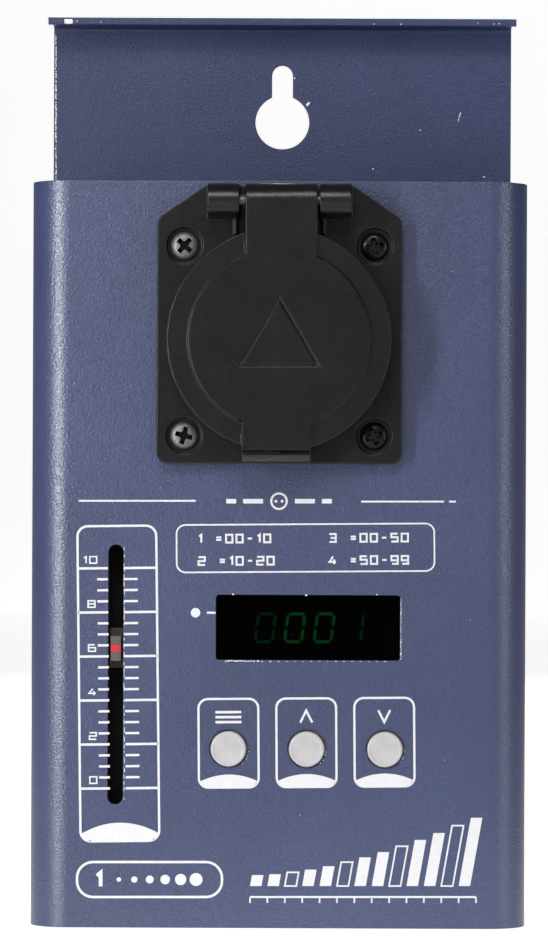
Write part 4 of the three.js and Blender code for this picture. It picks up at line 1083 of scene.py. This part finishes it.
bars = Flat()
x0, z0 = on_face(250, 886)
x1, _ = on_face(476, 0)
pitch = (x1 - x0) / LEVELS
for k in range(LEVELS):
    height = LEVEL_LEAST + LEVEL_GROWTH * (k / (LEVELS - 1)) ** LEVEL_POWER
    x = x0 + k * pitch
    lean = LEVEL_LEAN * height
    corners = [
        (x, z0),
        (x + LEVEL_WIDTH, z0),
        (x + LEVEL_WIDTH + lean, z0 + height),
        (x + lean, z0 + height),
    ]
    if k % 3 == 2:
        bars.stroke(corners, LEVEL_LINE, True)
    else:
        bars.shape(corners)
bars.bar(x0, x1, on_face(0, 897)[1], BASE_WIDTH)
for k in range(LEVELS + 1):
    x = x0 + (x1 - x0) * k / LEVELS
    a, b = x - TICK_HALF, x + TICK_HALF
    low_z, top_z = z0 - TICK_FOOT, z0 - TICK_TOP
    bars.shape([(a, low_z), (b, low_z), (b, top_z), (a, top_z)])
bars.make("level_bar_print", print_white, FACE_Y)

# Display digits on the module, behind the window
SEGMENTS = {
    "a": ((0.08, 1), (0.92, 1)),
    "b": ((1, 0.94), (1, 0.56)),
    "c": ((1, 0.44), (1, 0.06)),
    "d": ((0.08, 0), (0.92, 0)),
    "e": ((0, 0.44), (0, 0.06)),
    "f": ((0, 0.94), (0, 0.56)),
}
DIGIT_WIDE, DIGIT_HIGH, DIGIT_LEAN, DIGIT_LINE = 3.4, 5.6, 0.7, 0.6

module_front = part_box("display_module")[0].y
for title, strength, placed in (
    ("outer_digits", 0.3, ((0, "abcdef"), (3, "bc"))),
    ("inner_digits", 0.75, ((1, "abcdef"), (2, "abcdef"))),
):
    digits = Flat()
    for k, lit in placed:
        x, z = on_face(255 + 29.5 * k, 642)
        for name in lit:
            ends = [
                (x + DIGIT_WIDE * u + DIGIT_LEAN * v, z + DIGIT_HIGH * v)
                for u, v in SEGMENTS[name]
            ]
            digits.stroke(ends, DIGIT_LINE)
    digits.make(title, lit_digit("green_" + title, strength), module_front)


# Marks of moulding and wear: the ejector rings on the socket's flange, then chips in the coat, some
# of them light flecks on lit edges that paint their highlight

FLANGE_Y = -22.65 * MM
EJECTOR_RADIUS, EJECTOR_LINE, EJECTOR_RAISE = 2.4, 0.22, 0.12

ejector = Flat()
for x, z in ((-17.5, 143.5), (17.5, 143.1), (-21.1, 106.2), (19.9, 105.6)):
    ejector.ring(x, z, EJECTOR_RADIUS, EJECTOR_LINE)
ejector_rings = ejector.make(
    "ejector_marks", looks["black_plastic"], FLANGE_Y, EJECTOR_RAISE, rolled=False
)

rng = random.Random(7)
FLECK_CORNERS = 9


def fleck(flat, x, z, length, width, lean=0.0):
    """A ragged little patch about a point"""
    points = []
    for k in range(FLECK_CORNERS):
        angle = 2 * math.pi * k / FLECK_CORNERS
        reach = rng.uniform(0.65, 1.15)
        u, v = length / 2 * reach * math.cos(angle), width / 2 * reach * math.sin(angle)
        c, s = math.cos(lean), math.sin(lean)
        points.append((x + c * u - s * v, z + s * u + c * v))
    flat.shape(points)


# At the slot's edge, the window's edges, over the panel and at the buttons' rims; the flecks at the
# lit right-hand edges are both chipped coat and painted highlight. A chip's length lies along X and
# its width along Z, unless it leans.
SLOT_FLECKS, SLOT_PITCH, SLOT_INSET, SLOT_LENGTH = 34, 1.52, 0.12, 0.16
WINDOW_WIDTH, CORNER_WIDTH, FOOT_WIDTH = 0.35, 0.28, 0.18
CORNER_CHIPS, FOOT_CHIPS, SIDE_FLECKS = 11, 16, 26
PANEL_CHIP, RIM_FLECK = (0.22, 0.2), (0.18, 0.3)
BUTTON_RIM = 3.95
RIM_ANGLES = (-8, -20, -31, -44)

chips_and_highlights = Flat()
# Light flecks along the slot's right edge: chipped coat, and painted highlight on the lit edge
for k in range(SLOT_FLECKS):
    z = on_face(0, 548)[1] - k * SLOT_PITCH + rng.uniform(-0.5, 0.5)
    x = slot_right - SLOT_INSET + rng.uniform(-0.06, 0.06)
    fleck(chips_and_highlights, x, z, SLOT_LENGTH, rng.uniform(0.5, 1.6))
for px, py, size in ((233, 594.2, 0.5), (306, 595.2, 0.6), (377, 594.6, 0.5), (258, 661, 0.5)):
    fleck(chips_and_highlights, *on_face(px, py), size, WINDOW_WIDTH)
for k in range(CORNER_CHIPS):
    x, z = on_face(226 + 2.8 * k, 660.9 + rng.uniform(-0.4, 0.4))
    fleck(chips_and_highlights, x, z, rng.uniform(0.3, 0.9), CORNER_WIDTH)
for k in range(FOOT_CHIPS):
    fleck(chips_and_highlights, *on_face(262 + 8.2 * k, 661.4), rng.uniform(0.2, 0.6), FOOT_WIDTH)
# Light flecks along the window's right edge: chipped coat, and painted highlight on the lit edge
for k in range(SIDE_FLECKS):
    x, z = on_face(400.9 + rng.uniform(-0.2, 0.3), 599 + 2.4 * k)
    fleck(chips_and_highlights, x, z, rng.uniform(0.16, 0.34), rng.uniform(0.2, 0.55))
for px, py in ((420, 130), (196, 262), (445, 760), (300, 815), (160, 488), (470, 620)):
    fleck(chips_and_highlights, *on_face(px, py), *PANEL_CHIP)
# Light flecks at the lower right of each button's rim: chipped coat, and painted highlight on the lit
# rim
for px, py in ((229.2, 749.2), (306.7, 749.2), (385.2, 749.2)):
    x, z = on_face(px, py)
    for angle in RIM_ANGLES:
        around = math.radians(angle + rng.uniform(-4, 4))
        u, v = BUTTON_RIM * math.cos(around), BUTTON_RIM * math.sin(around)
        fleck(chips_and_highlights, x + u, z + v, *RIM_FLECK)
chips_and_highlights.make("front_chips_and_highlights", primer_and_highlight, FACE_Y, FLECK_RAISE)

# Scratches on the back plate, and a row of light flecks along its left edge that paints that edge's
# highlight
EDGE_HIGHLIGHT_FLECKS, EDGE_PITCH_PX = 60, 2.4

plate_chips_and_highlight = Flat()
for px, py, length, width, lean in (
    (308, 104, 1.5, 0.7, 0.9),
    (460, 115, 0.3, 1.5, -0.3),
    (458.5, 120, 0.25, 0.8, -0.3),
    (484, 177, 0.45, 0.4, 0),
    (373, 169, 0.35, 0.3, 0),
    (294.6, 78, 0.3, 0.5, 0),
):
    fleck(plate_chips_and_highlight, *on_face(px, py, PLATE_Y), length, width, lean)
# Light flecks down the plate's left edge: painted highlight on that edge
for k in range(EDGE_HIGHLIGHT_FLECKS):
    px, py = 55.7 + rng.uniform(0, 0.5), 37 + EDGE_PITCH_PX * k + rng.uniform(-1, 1)
    x, z = on_face(px, py, PLATE_Y)
    fleck(plate_chips_and_highlight, x, z, rng.uniform(0.15, 0.32), rng.uniform(0.3, 0.9))
plate_chips_and_highlight.make("plate_chips_and_edge_highlight", primer_and_highlight, PLATE_Y, FLECK_RAISE)

# One large light patch at the lip's left end, partly chipped coat and partly painted highlight, and
# small chips along it
LIP_PATCH_CORNERS = (
    (64.2, 19.4), (66, 19.1), (72.4, 19.2), (72.8, 21.8), (72.4, 23.5), (68, 23.8), (64.4, 23.4)
)
LIP_CHIP_WIDTH = 0.25

lip_flecks = Flat()
lip_flecks.shape(on_face(px, py, LIP_Y) for px, py in LIP_PATCH_CORNERS)
for px, py in ((77, 21), (101, 22), (374, 24), (401, 24.2), (478, 23), (494, 24), (499, 23.6)):
    fleck(lip_flecks, *on_face(px, py, LIP_Y), rng.uniform(0.2, 0.45), LIP_CHIP_WIDTH)
lip_flecks.make("lip_chips_and_highlight", primer_and_highlight, LIP_Y, FLECK_RAISE)


# Floor and backdrop: one sheet that curves up in front and behind. It glows behind the object, in
# a band that widens with distance, and is dim elsewhere. Metres.

GLOW_DIM = (0.09, 0.09, 0.09, 1)
GLOW_FULL = (0.75, 0.75, 0.75, 1)
GLOW_FROM, GLOW_TO = -0.12, -0.05
BAND_SLOPE, BAND_EDGE, BAND_END = -0.09, 0.08, 0.35
FLOOR_HALF, FLOOR_REACH, FLOOR_CURVE, FLOOR_HEIGHT = 4.0, 4.5, 1.2, 4.0
FLOOR_DROP = 0.1 * MM
CURVE_STEPS = 12
FLOOR_WHITE = (0.88, 0.88, 0.885, 1)


def math_node(tree, operation, *values):
    made = tree.nodes.new("ShaderNodeMath")
    made.operation = operation
    for socket, value in zip(made.inputs, values):
        if isinstance(value, float):
            socket.default_value = value
        else:
            tree.links.new(value, socket)
    return made.outputs[0]


def backdrop():
    flat_end = FLOOR_REACH - FLOOR_CURVE
    line = [(flat_end, 0.0)]
    for k in range(1, CURVE_STEPS + 1):
        angle = math.radians(90 * k / CURVE_STEPS)
        y, z = FLOOR_CURVE * math.sin(angle), FLOOR_CURVE * math.cos(angle)
        line.append((flat_end + y, FLOOR_CURVE - z))
    line.append((FLOOR_REACH, FLOOR_HEIGHT))
    line = [(-y, z) for y, z in line[::-1]] + line
    bm = bmesh.new()
    rows = [
        [bm.verts.new((x, y, z - FLOOR_DROP)) for x in (-FLOOR_HALF, FLOOR_HALF)] for y, z in line
    ]
    for a, b in zip(rows, rows[1:]):
        bm.faces.new([a[0], a[1], b[1], b[0]])
    mesh = smooth(as_mesh(bm, "pale_floor"))
    pale = flat_surface("pale_floor", FLOOR_WHITE, drift=2, rough=(0.8, 0.9))
    tree = pale.node_tree
    apart = tree.nodes.new("ShaderNodeSeparateXYZ")
    tree.links.new(tree.nodes.new("ShaderNodeTexCoord").outputs["Object"], apart.inputs["Vector"])
    aside = math_node(tree, "ABSOLUTE", apart.outputs["X"])
    band_at = math_node(tree, "MULTIPLY_ADD", apart.outputs["Y"], BAND_SLOPE, aside)
    behind = spread(tree, apart.outputs["Y"], 0, 1, GLOW_FROM, GLOW_TO)
    within = spread(tree, band_at, 1, 0, BAND_EDGE, BAND_END)
    both = math_node(tree, "MULTIPLY", behind, within)
    glow = ramp(tree, both, [(0.0, GLOW_DIM), (1.0, GLOW_FULL)])
    shader = tree.nodes["Principled BSDF"]
    tree.links.new(glow, shader.inputs["Emission Color"])
    shader.inputs["Emission Strength"].default_value = 1.0
    mesh.materials.append(pale)
    made = put("pale_floor", mesh)
    made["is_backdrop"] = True


backdrop()
bpy.context.scene.view_settings.view_transform = "Standard"

low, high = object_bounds()
